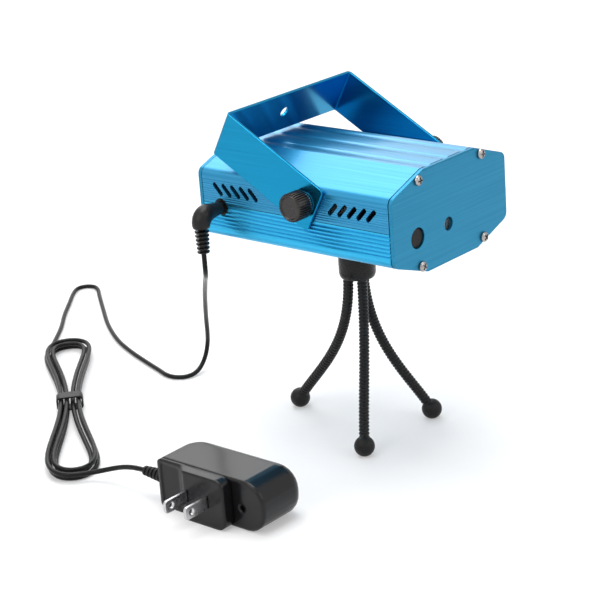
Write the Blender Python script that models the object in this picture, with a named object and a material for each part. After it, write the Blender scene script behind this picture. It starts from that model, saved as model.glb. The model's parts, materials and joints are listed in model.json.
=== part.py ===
# Mini stage light projector: an eight-sided aluminium case in a tilting yoke, on a small
# tripod with bendable legs, with its power lead and wall adapter.
# Sizes are in millimetres and become metres in the meshes. The working frame has its
# centre in the middle of the case: X across, -Y to the front plate, Z up.
import math

import bmesh
import bpy
import numpy as np
from mathutils import Vector

MM = 0.001

# Clearances
GAP = 0.3
RUN = 0.3
YOKE_GAP = 0.5

# Case
CASE_W = 90.0
CASE_L = 120.0
CASE_H = 50.0
CHAMFER_W = CASE_W * 25 / 90
CHAMFER_H = CASE_H * 8.8 / 50
CORNER_R = 4.0
WALL = 2.0
PLATE_T = 2.0
STAND_H = 124.5
LIP_T = 1.2
LIP_H = 2.8
TOP_FLAT = CASE_W / 2 - CHAMFER_W
TOP_GROOVE_X = TOP_FLAT * 0.7
TOP_GROOVE_W = TOP_FLAT * 0.25
TOP_GROOVE_D = 0.6
SIDE_RIBS = 6
RIB_DEPTH = 0.8

# Side vents
VENT_COUNT = 5
VENT_PITCH = CASE_L * 5.7 / 120
VENT_FIRST_Y = CASE_L * 24.9 / 120
VENT_Z = CASE_H * 7.4 / 50
VENT_LEN = 7.4
VENT_W = 1.9
VENT_LEAN = 43.0

# Plate screws
SCREW_X = TOP_FLAT + 4.8
SCREW_Z = CASE_H / 2 - 4.2
SCREW_HEAD_R = 2.5
SCREW_HEAD_H = 1.7
SCREW_R = 1.1
SCREW_LEN = 9.0
BOSS_HALF = 2.6
BOSS_LOW = SCREW_Z - 3.4

# Front plate openings
MIC_X = -(CASE_W / 2 - 18.4)
MIC_Z = -CASE_H * 6.6 / 50
MIC_R = 5.0
BEAM_X = -2.5
BEAM_Z = -CASE_H * 6.4 / 50
BEAM_R = 3.25

# Rear controls
SWITCH_X = -CASE_W / 6
SPEED_X = CASE_W / 6
CONTROL_Z = -CASE_H * 6 / 50
SPEED_KNOB_R = 5.0
SPEED_KNOB_H = 5.0

# Yoke and its knobs
PIVOT_Y = -CASE_L * 9 / 120
PIVOT_Z = CASE_H * 9 / 50
YOKE_T = 1.5
YOKE_WIDTH = 24.0
YOKE_REACH = 58.0
YOKE_TAIL = 7.5
YOKE_LEAN = 29.0
YOKE_BEND = 2.2
YOKE_CORNER = 2.0
YOKE_HOLE_R = 2.6
WASHER_T = 0.8
KNOB_R = 7.0
KNOB_L = 9.0
KNOB_TEETH = 40
STUD_R = 2.4

# Tripod
HUB_R = 9.3
HUB_H = 18.0
HUB_BEVEL = 2.4
MOUNT_R = 3.1
NUT_FLANGE_R = 9.0
LEG_RING = 4.9
LEG_R = 2.6
LEG_VALLEY = 2.2
LEG_RIBS = 40
FOOT_R = 5.2
FOOT_FLAT = 0.3
LEG_PLACES = ((87.5, 46.5), (216.5, 36.7), (318.3, 33.9))
POCKET_TURN = 124.0

# Power lead
CORD_R = 1.25
JACK_Y = CASE_L / 2 - 13.5
JACK_Z = -1.5
PLUG_OUT = 15.0
PLUG_R = 4.3
BOOT_END = 19.0
HANK_X = -64.5
HANK_Y = 152.0
HANK_HALF = 97.0
HANK_TURNS = 3.5
HANK_LOBE = 13.6
HANK_WAIST = 6.2
HANK_START = 0.08
HANK_STEP = 3.1
HANK_INSET = 6.0
HANK_LAYER = 3.0
HANK_LIFT = 1.4
TIE_T = 0.9
TIE_L = 8.0

# Wall adapter
ADAPTER_FACE = -130.0
ADAPTER_DEPTH = 34.5
ADAPTER_Y0 = -39.0
ADAPTER_ROUND = 6.0
ADAPTER_END_R = 11.5
ADAPTER_EDGE_R = 2.5
ADAPTER_LIP = 0.8
ADAPTER_HOLE_R = 1.6
ADAPTER_HOLE_Y = -25.5
ADAPTER_HOLE_DROP = 1.5
ADAPTER_HOLE_DEEP = 5.0
ADAPTER_CORNER = 18.0
COVER_Y0 = -20.0
ADAPTER_Y1 = 25.5
ADAPTER_H = 25.0
COVER_DEPTH = 6.0
COVER_STEP = 4.5
COVER_STEP_Y = 4.5
COVER_STEP_RUN = 6.0
COVER_EDGE = 0.7
COVER_END_R = 4.5
PANEL_FRAME = 2.0
PANEL_DEEP = 0.5
PANEL_R = 1.5
BLADE_L = 14.5
BLADE_H = 6.3
BLADE_T = 1.5
BLADE_PITCH = 12.7
BLADE_MID = -3.1
RELIEF_L = 15.0

# Derived places
HALF_W = CASE_W / 2
HALF_L = CASE_L / 2
HALF_H = CASE_H / 2
SLOPE = CHAMFER_H / CHAMFER_W
SKIN = WALL * math.hypot(1.0, SLOPE)
SHELL_END = HALF_L - PLATE_T - GAP
FRONT_REACH = HALF_L + GAP + SCREW_HEAD_H
REAR_REACH = HALF_L + GAP + SPEED_KNOB_H
SHIFT_Y = (FRONT_REACH - REAR_REACH) / 2
FLOOR = -STAND_H
HUB_TOP = -HALF_H - GAP
HUB_LOW = HUB_TOP - HUB_H
YOKE_OUT = HALF_W + YOKE_GAP + YOKE_T
KNOB_IN = YOKE_OUT + GAP + WASHER_T + GAP
PLUG_X = -HALF_W - PLUG_OUT
BOOT_LOW = JACK_Z - BOOT_END
CORD_H = CORD_R + 0.15

for old in list(bpy.data.objects):
    bpy.data.objects.remove(old, do_unlink=True)

base = bpy.data.objects.new("projector_frame", None)
base.location = (0.0, SHIFT_Y * MM, STAND_H * MM)
bpy.context.collection.objects.link(base)


def look(name, colour, roughness, metallic):
    mat = bpy.data.materials.new(name)
    mat.use_nodes = True
    shader = mat.node_tree.nodes["Principled BSDF"]
    shader.inputs["Base Color"].default_value = (*colour, 1.0)
    shader.inputs["Roughness"].default_value = roughness
    shader.inputs["Metallic"].default_value = metallic
    return mat


BLUE = look("blue_anodised", (0.02, 0.30, 0.61), 0.32, 0.9)
PLATE = look("blue_plate", (0.026, 0.205, 0.43), 0.4, 0.8)
STEEL = look("steel", (0.62, 0.62, 0.63), 0.3, 1.0)
BLACK_METAL = look("black_metal", (0.02, 0.019, 0.019), 0.4, 0.6)
BLACK_PLASTIC = look("black_plastic", (0.021, 0.02, 0.02), 0.5, 0.0)
BLACK_RUBBER = look("black_rubber", (0.018, 0.017, 0.017), 0.65, 0.0)
ALUMINIUM = look("aluminium", (0.6, 0.61, 0.62), 0.4, 1.0)
BRASS = look("brass", (0.7, 0.52, 0.22), 0.3, 1.0)
BOARD = look("board", (0.02, 0.2, 0.08), 0.5, 0.0)
CLEAR = look("clear", (0.8, 0.85, 0.88), 0.05, 0.0)


def spot(axis, u, v, w):
    # u and v lie across the axis, w along it
    if axis == "X":
        return Vector((w, u, v))
    if axis == "Y":
        return Vector((u, w, v))
    return Vector((u, v, w))


def make(name, bm, origin, mat):
    bmesh.ops.recalc_face_normals(bm, faces=bm.faces[:])
    mesh = bpy.data.meshes.new(name)
    bm.to_mesh(mesh)
    bm.free()
    mesh.shade_smooth()
    mesh.set_sharp_from_angle(angle=math.radians(35))
    obj = bpy.data.objects.new(name, mesh)
    obj.location = Vector(origin) * MM
    obj.parent = base
    bpy.context.collection.objects.link(obj)
    if mat is None:
        obj.hide_render = True
        obj.display_type = "WIRE"
    else:
        mesh.materials.append(mat)
    return obj


def add_prism(bm, outline, lo, hi, axis, origin):
    zero = Vector(origin)
    low = [bm.verts.new((spot(axis, u, v, lo) - zero) * MM) for u, v in outline]
    high = [bm.verts.new((spot(axis, u, v, hi) - zero) * MM) for u, v in outline]
    bm.faces.new(low)
    bm.faces.new(list(reversed(high)))
    count = len(outline)
    for i in range(count):
        j = (i + 1) % count
        bm.faces.new((low[i], high[i], high[j], low[j]))


def prism(name, outline, lo, hi, axis, mat, origin=(0, 0, 0)):
    bm = bmesh.new()
    add_prism(bm, outline, lo, hi, axis, origin)
    return make(name, bm, origin, mat)


def loft(name, rings, axis, mat):
    # outlines with the same number of points, joined in order along the axis
    bm = bmesh.new()
    rows = [[bm.verts.new(spot(axis, u, v, w) * MM) for u, v in outline] for outline, w in rings]
    for a, b in zip(rows, rows[1:]):
        for i in range(len(a)):
            j = (i + 1) % len(a)
            bm.faces.new((a[i], b[i], b[j], a[j]))
    bm.faces.new(rows[0])
    bm.faces.new(list(reversed(rows[-1])))
    return make(name, bm, (0, 0, 0), mat)


def box(name, low, high, mat, origin=(0, 0, 0)):
    outline = rectangle(low[0], low[1], high[0], high[1])
    return prism(name, outline, low[2], high[2], "Z", mat, origin)


def turned(name, profile, axis, mat, centre=(0.0, 0.0), steps=20, ring=False, origin=(0, 0, 0)):
    # profile is a list of (radius, place along the axis); a ring's profile closes on itself
    bm = bmesh.new()
    zero = Vector(origin)
    rows = []
    for radius, along in profile:
        if radius < 1e-6:
            rows.append([bm.verts.new((spot(axis, centre[0], centre[1], along) - zero) * MM)])
            continue
        row = []
        for i in range(steps):
            turn = 2 * math.pi * (i + 0.5) / steps
            u = centre[0] + radius * math.cos(turn)
            v = centre[1] + radius * math.sin(turn)
            row.append(bm.verts.new((spot(axis, u, v, along) - zero) * MM))
        rows.append(row)
    pairs = list(zip(rows, rows[1:]))
    if ring:
        pairs.append((rows[-1], rows[0]))
    for a, b in pairs:
        for i in range(steps):
            j = (i + 1) % steps
            if len(a) == 1 and len(b) == 1:
                continue
            if len(a) == 1:
                bm.faces.new((a[0], b[i], b[j]))
            elif len(b) == 1:
                bm.faces.new((a[i], b[0], a[j]))
            else:
                bm.faces.new((a[i], b[i], b[j], a[j]))
    return make(name, bm, origin, mat)


def rod(name, radius, lo, hi, axis, mat, centre=(0.0, 0.0), steps=20, origin=(0, 0, 0)):
    profile = ((0, lo), (radius, lo), (radius, hi), (0, hi))
    return turned(name, profile, axis, mat, centre, steps, origin=origin)


def tube(name, outer, inner, lo, hi, axis, mat, centre=(0.0, 0.0), steps=20, origin=(0, 0, 0)):
    profile = ((inner, lo), (outer, lo), (outer, hi), (inner, hi))
    return turned(name, profile, axis, mat, centre, steps, True, origin)


def boolean(obj, tool, operation="DIFFERENCE"):
    mod = obj.modifiers.new(tool.name, "BOOLEAN")
    mod.operation = operation
    mod.solver = "EXACT"
    mod.object = tool


def round_edges(obj, width):
    mod = obj.modifiers.new("edges", "BEVEL")
    mod.width = width * MM
    mod.segments = 2
    mod.limit_method = "ANGLE"
    mod.angle_limit = math.radians(50)


def rectangle(u0, v0, u1, v1):
    return [(u0, v0), (u1, v0), (u1, v1), (u0, v1)]


def rounded(u0, v0, u1, v1, radii, steps=4):
    # radii start at the corner (u0, v0) and go round through (u1, v0)
    corners = ((u0, v0, 1, 1, 180), (u1, v0, -1, 1, 270), (u1, v1, -1, -1, 0), (u0, v1, 1, -1, 90))
    outline = []
    for (u, v, su, sv, start), r in zip(corners, radii):
        if r <= 0:
            outline.append((u, v))
            continue
        for i in range(steps + 1):
            turn = math.radians(start + 90 * i / steps)
            outline.append((u + su * r + r * math.cos(turn), v + sv * r + r * math.sin(turn)))
    return outline


def eased(before, corner, after, radius, steps=3):
    # points of an arc that replaces the corner
    c = Vector(corner)
    a = (Vector(before) - c).normalized()
    b = (Vector(after) - c).normalized()
    half = a.angle(b) / 2
    middle = c + (a + b).normalized() * (radius / math.sin(half))
    start = c + a * (radius / math.tan(half)) - middle
    sweep = math.pi - 2 * half
    if a.cross(b) > 0:
        sweep = -sweep
    out = []
    for k in range(steps + 1):
        turn = sweep * k / steps
        x = start.x * math.cos(turn) - start.y * math.sin(turn)
        y = start.x * math.sin(turn) + start.y * math.cos(turn)
        out.append((middle.x + x, middle.y + y))
    return out


def mirrored(half):
    # half runs from +X towards the middle; its mirror image follows in reverse
    return list(half) + [(-u, v) for u, v in reversed(half) if abs(u) > 1e-6]


def sampled(points, spacing):
    # a smooth curve through the points, read at even steps along its length
    path = np.array(points, float)
    ends = np.vstack((2 * path[0] - path[1], path, 2 * path[-1] - path[-2]))
    fine = []
    for i in range(1, len(ends) - 2):
        a, b, c, d = ends[i - 1], ends[i], ends[i + 1], ends[i + 2]
        for t in np.linspace(0, 1, 24, endpoint=False):
            bend = 2 * a - 5 * b + 4 * c - d
            twist = 3 * b - a - 3 * c + d
            fine.append(0.5 * (2 * b + (c - a) * t + bend * t * t + twist * t ** 3))
    fine.append(path[-1])
    return evenly(np.array(fine), spacing)


def evenly(fine, spacing):
    run = np.concatenate(((0.0,), np.cumsum(np.linalg.norm(np.diff(fine, axis=0), axis=1))))
    count = max(2, int(round(run[-1] / spacing)) + 1)
    places = np.linspace(0, run[-1], count)
    return np.stack([np.interp(places, run, fine[:, k]) for k in range(3)], axis=1)


def wire(name, points, radius, mat, resolution=2, swell=None, origin=(0, 0, 0)):
    data = bpy.data.curves.new(name, "CURVE")
    data.dimensions = "3D"
    data.fill_mode = "FULL"
    data.use_fill_caps = True
    data.bevel_depth = radius * MM
    data.bevel_resolution = resolution
    spline = data.splines.new("POLY")
    spline.points.add(len(points) - 1)
    for i, place in enumerate(points):
        spline.points[i].co = (*((Vector(place) - Vector(origin)) * MM), 1.0)
        spline.points[i].radius = 1.0 if swell is None else swell[i]
    data.materials.append(mat)
    obj = bpy.data.objects.new(name, data)
    obj.location = Vector(origin) * MM
    obj.parent = base
    bpy.context.collection.objects.link(obj)
    return obj


def inner_z(x):
    # height of the case's inner skin under the sloping faces
    return HALF_H - (x - HALF_W + CHAMFER_W) * SLOPE - SKIN


# Case halves: extruded outlines with screw channels, meeting at mid height
flat = HALF_W - CHAMFER_W
side = HALF_H - CHAMFER_H
inside = HALF_W - WALL
flat_in = flat + (WALL - SKIN) / SLOPE
seam = GAP / 2

shoulder = eased((HALF_W, 0.0), (HALF_W, side), (flat, HALF_H), CORNER_R)
top = [(HALF_W, seam)] + shoulder + [(flat, HALF_H)]
for centre in (TOP_GROOVE_X, 0.0):
    edge = centre + TOP_GROOVE_W / 2
    top.append((edge, HALF_H))
    top.append((edge - TOP_GROOVE_D, HALF_H - TOP_GROOVE_D))
    if centre > 0:
        far = centre - TOP_GROOVE_W / 2
        top.append((far + TOP_GROOVE_D, HALF_H - TOP_GROOVE_D))
        top.append((far, HALF_H))
channel = [
    (flat_in, HALF_H - WALL),
    (SCREW_X - BOSS_HALF, inner_z(SCREW_X - BOSS_HALF)),
    (SCREW_X - BOSS_HALF, BOSS_LOW),
    (SCREW_X + BOSS_HALF, BOSS_LOW),
    (SCREW_X + BOSS_HALF, inner_z(SCREW_X + BOSS_HALF)),
    (inside, inner_z(inside)),
]
under = channel + [(inside, seam)]
upper_outline = mirrored(top) + [(-u, v) for u, v in reversed(under)] + under
upper_shell = prism("upper_shell", upper_outline, -SHELL_END, SHELL_END, "Y", BLUE)

lip_out = inside - GAP
lip_in = lip_out - LIP_T
low = [(lip_in, LIP_H), (lip_out, LIP_H), (lip_out, -seam), (HALF_W, -seam)]
rib_room = side - CORNER_R * 0.75 - 1.8
for i in range(SIDE_RIBS):
    z = -1.8 - rib_room * i / SIDE_RIBS
    low.append((HALF_W, z))
    low.append((HALF_W - RIB_DEPTH, z - 0.2))
    low.append((HALF_W - RIB_DEPTH, z - 0.9))
    low.append((HALF_W, z - 1.1))
low += [(u, -v) for u, v in shoulder] + [(flat, -HALF_H)]
floor_line = [(u, -v) for u, v in channel] + [(inside, -4.5), (lip_in, -3.0)]
lower_outline = mirrored(low) + [(-u, v) for u, v in reversed(floor_line)] + floor_line
lower_shell = prism("lower_shell", lower_outline, -SHELL_END, SHELL_END, "Y", BLUE)

# Slanted side vents
lean = math.radians(VENT_LEAN)
for sx, label in ((-1, "left"), (1, "right")):
    bm = bmesh.new()
    for sy in (-1, 1):
        for i in range(VENT_COUNT):
            mid = VENT_FIRST_Y + VENT_PITCH * i
            slot = []
            for end in (1, -1):
                for k in range(4):
                    turn = math.radians(90 * (1 - end) - 90 + 60 * k)
                    along = end * (VENT_LEN - VENT_W) / 2 + VENT_W / 2 * math.cos(turn)
                    cross = VENT_W / 2 * math.sin(turn)
                    y = along * math.sin(lean) - cross * math.cos(lean)
                    z = along * math.cos(lean) + cross * math.sin(lean)
                    slot.append((sy * (mid + y), VENT_Z + z))
            add_prism(bm, slot, sx * (HALF_W - 3 * WALL), sx * (HALF_W + 2), "X", (0, 0, 0))
    boolean(upper_shell, make("vent_cut_" + label, bm, (0, 0, 0), None))

# Holes in the case: knob studs, power jack, tripod stud, plate screws
pivot = (PIVOT_Y, PIVOT_Z)
stud_cut = rod("stud_cut", STUD_R + RUN, -HALF_W - 5, HALF_W + 5, "X", None, pivot)
boolean(upper_shell, stud_cut)
JACK_NOSE = 4.0
jack_cut = rod("jack_cut", JACK_NOSE + GAP, -HALF_W - 5, -HALF_W + 6, "X", None, (JACK_Y, JACK_Z))
boolean(upper_shell, jack_cut)
boolean(lower_shell, jack_cut)
boolean(lower_shell, rod("mount_cut", MOUNT_R + 0.4, -HALF_H - 2, -HALF_H + 6, "Z", None))
for sx in (-1, 1):
    for sz in (-1, 1):
        shell = upper_shell if sz > 0 else lower_shell
        for sy in (-1, 1):
            ends = sorted((sy * (SHELL_END + 1), sy * (SHELL_END - SCREW_LEN - 1)))
            name = "screw_cut_%d%d%d" % (sx + 1, sy + 1, sz + 1)
            spot_xz = (sx * SCREW_X, sz * SCREW_Z)
            boolean(shell, rod(name, SCREW_R + RUN, ends[0], ends[1], "Y", None, spot_xz, 10))

# Posts under the circuit board
BOARD_Z = -CASE_H * 14.5 / 50
BOARD_T = 1.6
POST_X = HALF_W - 14.0
BOARD_HALF = HALF_W - 11.0
BOARD_Y0 = NUT_FLANGE_R + 1.0
BOARD_Y1 = HALF_L - 10.0
for i, (px, py) in enumerate(((-1, 0), (1, 0), (-1, 1), (1, 1))):
    foot_z = -inner_z(POST_X) - 1.0
    px = px * POST_X
    py = BOARD_Y1 - 4.0 if py else BOARD_Y0 + 4.0
    post = rod("post_%d" % i, 2.5, foot_z, BOARD_Z - GAP, "Z", None, (px, py), 12)
    boolean(lower_shell, post, "UNION")

# End plates and their screws
octagon = []
for sx, sz in ((1, 1), (-1, 1), (-1, -1), (1, -1)):
    quarter = [(sx * u, sz * v) for u, v in shoulder + [(flat, HALF_H)]]
    octagon += quarter if sx * sz > 0 else list(reversed(quarter))
front_plate = prism("front_plate", octagon, -HALF_L, -HALF_L + PLATE_T, "Y", PLATE)
rear_plate = prism("rear_plate", octagon, HALF_L - PLATE_T, HALF_L, "Y", PLATE)
for sy, plate, word in ((-1, front_plate, "front"), (1, rear_plate, "rear")):
    face = sy * HALF_L
    number = 0
    for sx in (-1, 1):
        for sz in (-1, 1):
            number += 1
            centre = (sx * SCREW_X, sz * SCREW_Z)
            label = "%s_hole_%d" % (word, number)
            hole = rod(label, SCREW_R + RUN, face - 4, face + 4, "Y", None, centre, 10)
            boolean(plate, hole)
            out = face + sy * GAP
            head = out + sy * SCREW_HEAD_H
            profile = (
                (0, head), (SCREW_HEAD_R * 0.62, head), (SCREW_HEAD_R, out + sy * SCREW_HEAD_H * 0.45),
                (SCREW_HEAD_R, out), (SCREW_R, out), (SCREW_R, out - sy * (PLATE_T + SCREW_LEN)),
                (0, out - sy * (PLATE_T + SCREW_LEN)),
            )
            turned("%s_screw_%d" % (word, number), profile, "Y", STEEL, centre, 12)
boolean(front_plate, rod("mic_cut", MIC_R, -HALF_L - 3, -HALF_L + 5, "Y", None, (MIC_X, MIC_Z), 24))
boolean(front_plate, rod("beam_cut", BEAM_R, -HALF_L - 3, -HALF_L + 5, "Y", None, (BEAM_X, BEAM_Z)))

# Behind the front plate: microphone, window and the rotating grating
behind = -HALF_L + PLATE_T + GAP
mic = (MIC_X, MIC_Z)
MIC_BODY_R = MIC_R - 0.6
rod("mic_capsule", MIC_BODY_R, -HALF_L + 1.0, behind + 6.0, "Y", ALUMINIUM, mic)
tube("mic_grommet", MIC_R + 1.6, MIC_BODY_R + GAP, behind, behind + 4.5, "Y", BLACK_RUBBER, mic)
rod("aperture_window", BEAM_R + 1.4, behind, behind + 1.2, "Y", CLEAR, (BEAM_X, BEAM_Z))

DISC_Z = BEAM_Z + 10.4
DISC_Y = behind + 5.0
MOTOR_R = 5.0
SHAFT_R = 1.0
axle = (BEAM_X, DISC_Z)
axle_at = (BEAM_X, DISC_Y, DISC_Z)
disc_profile = (
    (0, DISC_Y - 0.5), (13.0, DISC_Y - 0.5), (13.0, DISC_Y + 0.5), (3.0, DISC_Y + 0.5),
    (3.0, DISC_Y + 1.8), (SHAFT_R, DISC_Y + 1.8), (SHAFT_R, DISC_Y + 6.0), (0, DISC_Y + 6.0),
)
turned("grating_disc", disc_profile, "Y", CLEAR, axle, 24, origin=axle_at)
motor_front = DISC_Y + 1.8 + GAP
motor_back = motor_front + 10.0
motor = rod("grating_motor", MOTOR_R, motor_front, motor_back, "Y", STEEL, axle)
boolean(motor, rod("shaft_cut", SHAFT_R + 0.2, motor_front - 1, DISC_Y + 6.5, "Y", None, axle, 12))
roof = HALF_H - WALL - GAP
plate_y = motor_back + GAP
bracket_side = [
    (plate_y, DISC_Z - MOTOR_R), (plate_y + 1.5, DISC_Z - MOTOR_R), (plate_y + 1.5, roof - 1.5),
    (plate_y + 10, roof - 1.5), (plate_y + 10, roof), (plate_y, roof),
]
prism("motor_bracket", bracket_side, BEAM_X - 6.5, BEAM_X + 6.5, "X", ALUMINIUM)

# Laser modules at right angles in one heat sink, with a slanted combiner where they meet
MODULE_R = 4.0
CROSS_Y = motor_back + 4.0
sink_low = -HALF_H + WALL + GAP
sink_top = BEAM_Z + MODULE_R + 2.5
sink_back = -NUT_FLANGE_R - 1.5
sink_side = BEAM_X + 21.0
sink_half = MODULE_R + 3.5
ell = [
    (BEAM_X - sink_half, CROSS_Y + sink_half), (BEAM_X + sink_half, CROSS_Y + sink_half),
    (BEAM_X + sink_half, CROSS_Y - sink_half + 1), (sink_side, CROSS_Y - sink_half + 1),
    (sink_side, sink_back), (BEAM_X - sink_half, sink_back),
]
heat_sink = prism("laser_heat_sink", ell, sink_low, sink_top, "Z", ALUMINIUM)
green_at = (BEAM_X, BEAM_Z)
red_at = (CROSS_Y, BEAM_Z)
bore_r = MODULE_R + GAP
boolean(heat_sink, rod("bore_green", bore_r, CROSS_Y + sink_half - 1, sink_back + 1, "Y", None, green_at))
boolean(heat_sink, rod("bore_red", bore_r, BEAM_X + sink_half - 1, sink_side + 1, "X", None, red_at))
rod("green_laser", MODULE_R, CROSS_Y + sink_half + 0.5, sink_back, "Y", BRASS, green_at)
rod("red_laser", MODULE_R, BEAM_X + sink_half + 0.5, sink_side, "X", BRASS, red_at)
half = 3.4
thin = 0.5
combiner = [
    (BEAM_X - half, CROSS_Y - half + thin), (BEAM_X - half + thin, CROSS_Y - half),
    (BEAM_X + half, CROSS_Y + half - thin), (BEAM_X + half - thin, CROSS_Y + half),
]
prism("beam_combiner", combiner, -HALF_H + WALL + GAP, BEAM_Z + 4, "Z", CLEAR)

# Circuit board, power jack and rear controls
box("circuit_board", (-BOARD_HALF, BOARD_Y0, BOARD_Z), (BOARD_HALF, BOARD_Y1, BOARD_Z + BOARD_T), BOARD)
JACK_IN = -(lip_in - GAP)
jack = box(
    "dc_jack",
    (JACK_IN, JACK_Y - 5.5, BOARD_Z + BOARD_T + GAP),
    (JACK_IN + 10.5, min(JACK_Y + 5.5, SHELL_END - 2), JACK_Z + 5.0),
    BLACK_PLASTIC,
)
jack_at = (JACK_Y, JACK_Z)
BARREL_R = 2.75
BARREL_L = 9.5
bore_end = -HALF_W + 11.0
boolean(jack, rod("jack_bore", BARREL_R + RUN + 0.4, JACK_IN - 3, bore_end, "X", None, jack_at, 18))
nose = (
    (0, -HALF_W + 2), (0.8, -HALF_W + 2), (0.8, bore_end - 0.4), (BARREL_R + RUN, bore_end - 0.4),
    (BARREL_R + RUN, -HALF_W), (JACK_NOSE, -HALF_W), (JACK_NOSE, bore_end + 1), (0, bore_end + 1),
)
boolean(jack, turned("jack_nose", nose, "X", None, jack_at, 18), "UNION")

inner_face = HALF_L - PLATE_T - GAP
SLIDER_W = 3.4
TRAVEL = 2.5
slot_half = SLIDER_W / 2 + TRAVEL + GAP
slot = rectangle(SWITCH_X - slot_half, CONTROL_Z - 2, SWITCH_X + slot_half, CONTROL_Z + 2)
switch_body = box(
    "mode_switch",
    (SWITCH_X - 8, inner_face - 6.2, CONTROL_Z - 4),
    (SWITCH_X + 8, inner_face, CONTROL_Z + 4),
    STEEL,
)
slot_cut = prism("slot_cut", slot, inner_face - 3, HALF_L + 3, "Y", None)
boolean(switch_body, slot_cut)
boolean(rear_plate, slot_cut)
slider = rectangle(SWITCH_X - SLIDER_W / 2, CONTROL_Z - 1.7, SWITCH_X + SLIDER_W / 2, CONTROL_Z + 1.7)
slider_at = (SWITCH_X, HALF_L, CONTROL_Z)
prism("mode_slider", slider, inner_face - 2.7, HALF_L + 2.5, "Y", BLACK_PLASTIC, slider_at)

speed = (SPEED_X, CONTROL_Z)
pot = rod("speed_control", 5.5, inner_face - 8, inner_face, "Y", STEEL, speed)
pot_cut = rod("pot_cut", 1.8, inner_face - 6.5, HALF_L + 3, "Y", None, speed, 14)
boolean(pot, pot_cut)
boolean(rear_plate, pot_cut)
knob_low = HALF_L + GAP
knob_top = knob_low + SPEED_KNOB_H
knob_profile = (
    (0, knob_top), (SPEED_KNOB_R - 0.6, knob_top), (SPEED_KNOB_R, knob_top - 0.8),
    (SPEED_KNOB_R, knob_low), (1.5, knob_low), (1.5, inner_face - 6.0), (0, inner_face - 6.0),
)
speed_at = (SPEED_X, knob_low, CONTROL_Z)
speed_knob = turned("speed_knob", knob_profile, "Y", BLACK_PLASTIC, speed, 18, origin=speed_at)
mark = rectangle(SPEED_X - 0.5, CONTROL_Z + 1, SPEED_X + 0.5, CONTROL_Z + SPEED_KNOB_R + 1)
boolean(speed_knob, prism("mark_cut", mark, knob_top - 0.6, knob_top + 1, "Y", None))

# Yoke: one bent strip, drawn upright about its pivot and then leaned back
yoke_in = YOKE_OUT - YOKE_T
bend = []
for radius, x0, r0 in ((YOKE_BEND, YOKE_OUT, YOKE_REACH), (YOKE_BEND - YOKE_T, yoke_in, YOKE_REACH - YOKE_T)):
    arc = []
    for k in range(5):
        turn = math.radians(22.5 * k)
        arc.append((x0 - radius + radius * math.cos(turn), r0 - radius + radius * math.sin(turn)))
    bend.append(arc)
outer_line = [(YOKE_OUT, -YOKE_TAIL)] + bend[0]
inner_line = [(yoke_in, -YOKE_TAIL)] + bend[1]
yoke_outline = mirrored(outer_line) + [(-u, v) for u, v in inner_line] + list(reversed(inner_line))
yoke_at = (0.0, PIVOT_Y, PIVOT_Z)
bm = bmesh.new()
# drawn with the strip's reach along +Y and its width along Z
add_prism(bm, yoke_outline, -YOKE_WIDTH / 2, YOKE_WIDTH / 2, "Z", (0, 0, 0))
yoke = make("yoke_bracket", bm, yoke_at, BLUE)
yoke_cuts = []
far = YOKE_WIDTH / 2
for sv in (-1, 1):
    corner = [
        (-YOKE_TAIL - 2, sv * (far + 2)), (-YOKE_TAIL + YOKE_CORNER + 2, sv * (far + 2)),
        (-YOKE_TAIL - 2, sv * (far - YOKE_CORNER - 2)),
    ]
    yoke_cuts.append(prism("yoke_corner_%d" % (sv + 1), corner, -YOKE_OUT - 2, YOKE_OUT + 2, "X", None))
yoke_cuts.append(rod("yoke_pivot_cut", STUD_R + RUN, -YOKE_OUT - 2, YOKE_OUT + 2, "X", None))
yoke_cuts.append(rod("yoke_hang_cut", YOKE_HOLE_R, YOKE_REACH - 5, YOKE_REACH + 3, "Y", None))
for tool in yoke_cuts:
    boolean(yoke, tool)
    tool.location = Vector(yoke_at) * MM
for piece in [yoke] + yoke_cuts:
    piece.rotation_euler = (math.radians(YOKE_LEAN), 0.0, 0.0)

# Thumb knobs with their studs, washers and the nuts inside the case
for sx, label in ((-1, "left"), (1, "right")):
    knurl = []
    for i in range(2 * KNOB_TEETH):
        radius = KNOB_R if i % 2 else KNOB_R - 0.4
        turn = math.pi * i / KNOB_TEETH
        knurl.append((PIVOT_Y + radius * math.cos(turn), PIVOT_Z + radius * math.sin(turn)))
    ends = sorted((sx * KNOB_IN, sx * (KNOB_IN + KNOB_L - 1.2)))
    knob_at = (sx * KNOB_IN, PIVOT_Y, PIVOT_Z)
    knob = prism(label + "_knob", knurl, ends[0], ends[1], "X", BLACK_PLASTIC, knob_at)
    cap = (
        (0, sx * (KNOB_IN + 1)), (KNOB_R - 0.8, sx * (KNOB_IN + 1)),
        (KNOB_R - 0.8, sx * (KNOB_IN + KNOB_L - 0.7)), (KNOB_R - 1.4, sx * (KNOB_IN + KNOB_L)),
        (0, sx * (KNOB_IN + KNOB_L)),
    )
    boolean(knob, turned(label + "_cap", cap, "X", None, pivot, 20), "UNION")
    stud = sorted((sx * (inside - 5.0), sx * (KNOB_IN + 3)))
    boolean(knob, rod(label + "_stud", STUD_R, stud[0], stud[1], "X", None, pivot, 16), "UNION")
    flat_ends = sorted((sx * (YOKE_OUT + GAP), sx * (YOKE_OUT + GAP + WASHER_T)))
    tube(label + "_washer", 5.6, STUD_R + RUN, flat_ends[0], flat_ends[1], "X", STEEL, pivot)
    nut_ends = sorted((sx * (inside - GAP), sx * (inside - GAP - 3.2)))
    pivot_nut = rod(label + "_pivot_nut", 4.6, nut_ends[0], nut_ends[1], "X", STEEL, pivot, 6)
    boolean(pivot_nut, stud_cut)

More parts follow.
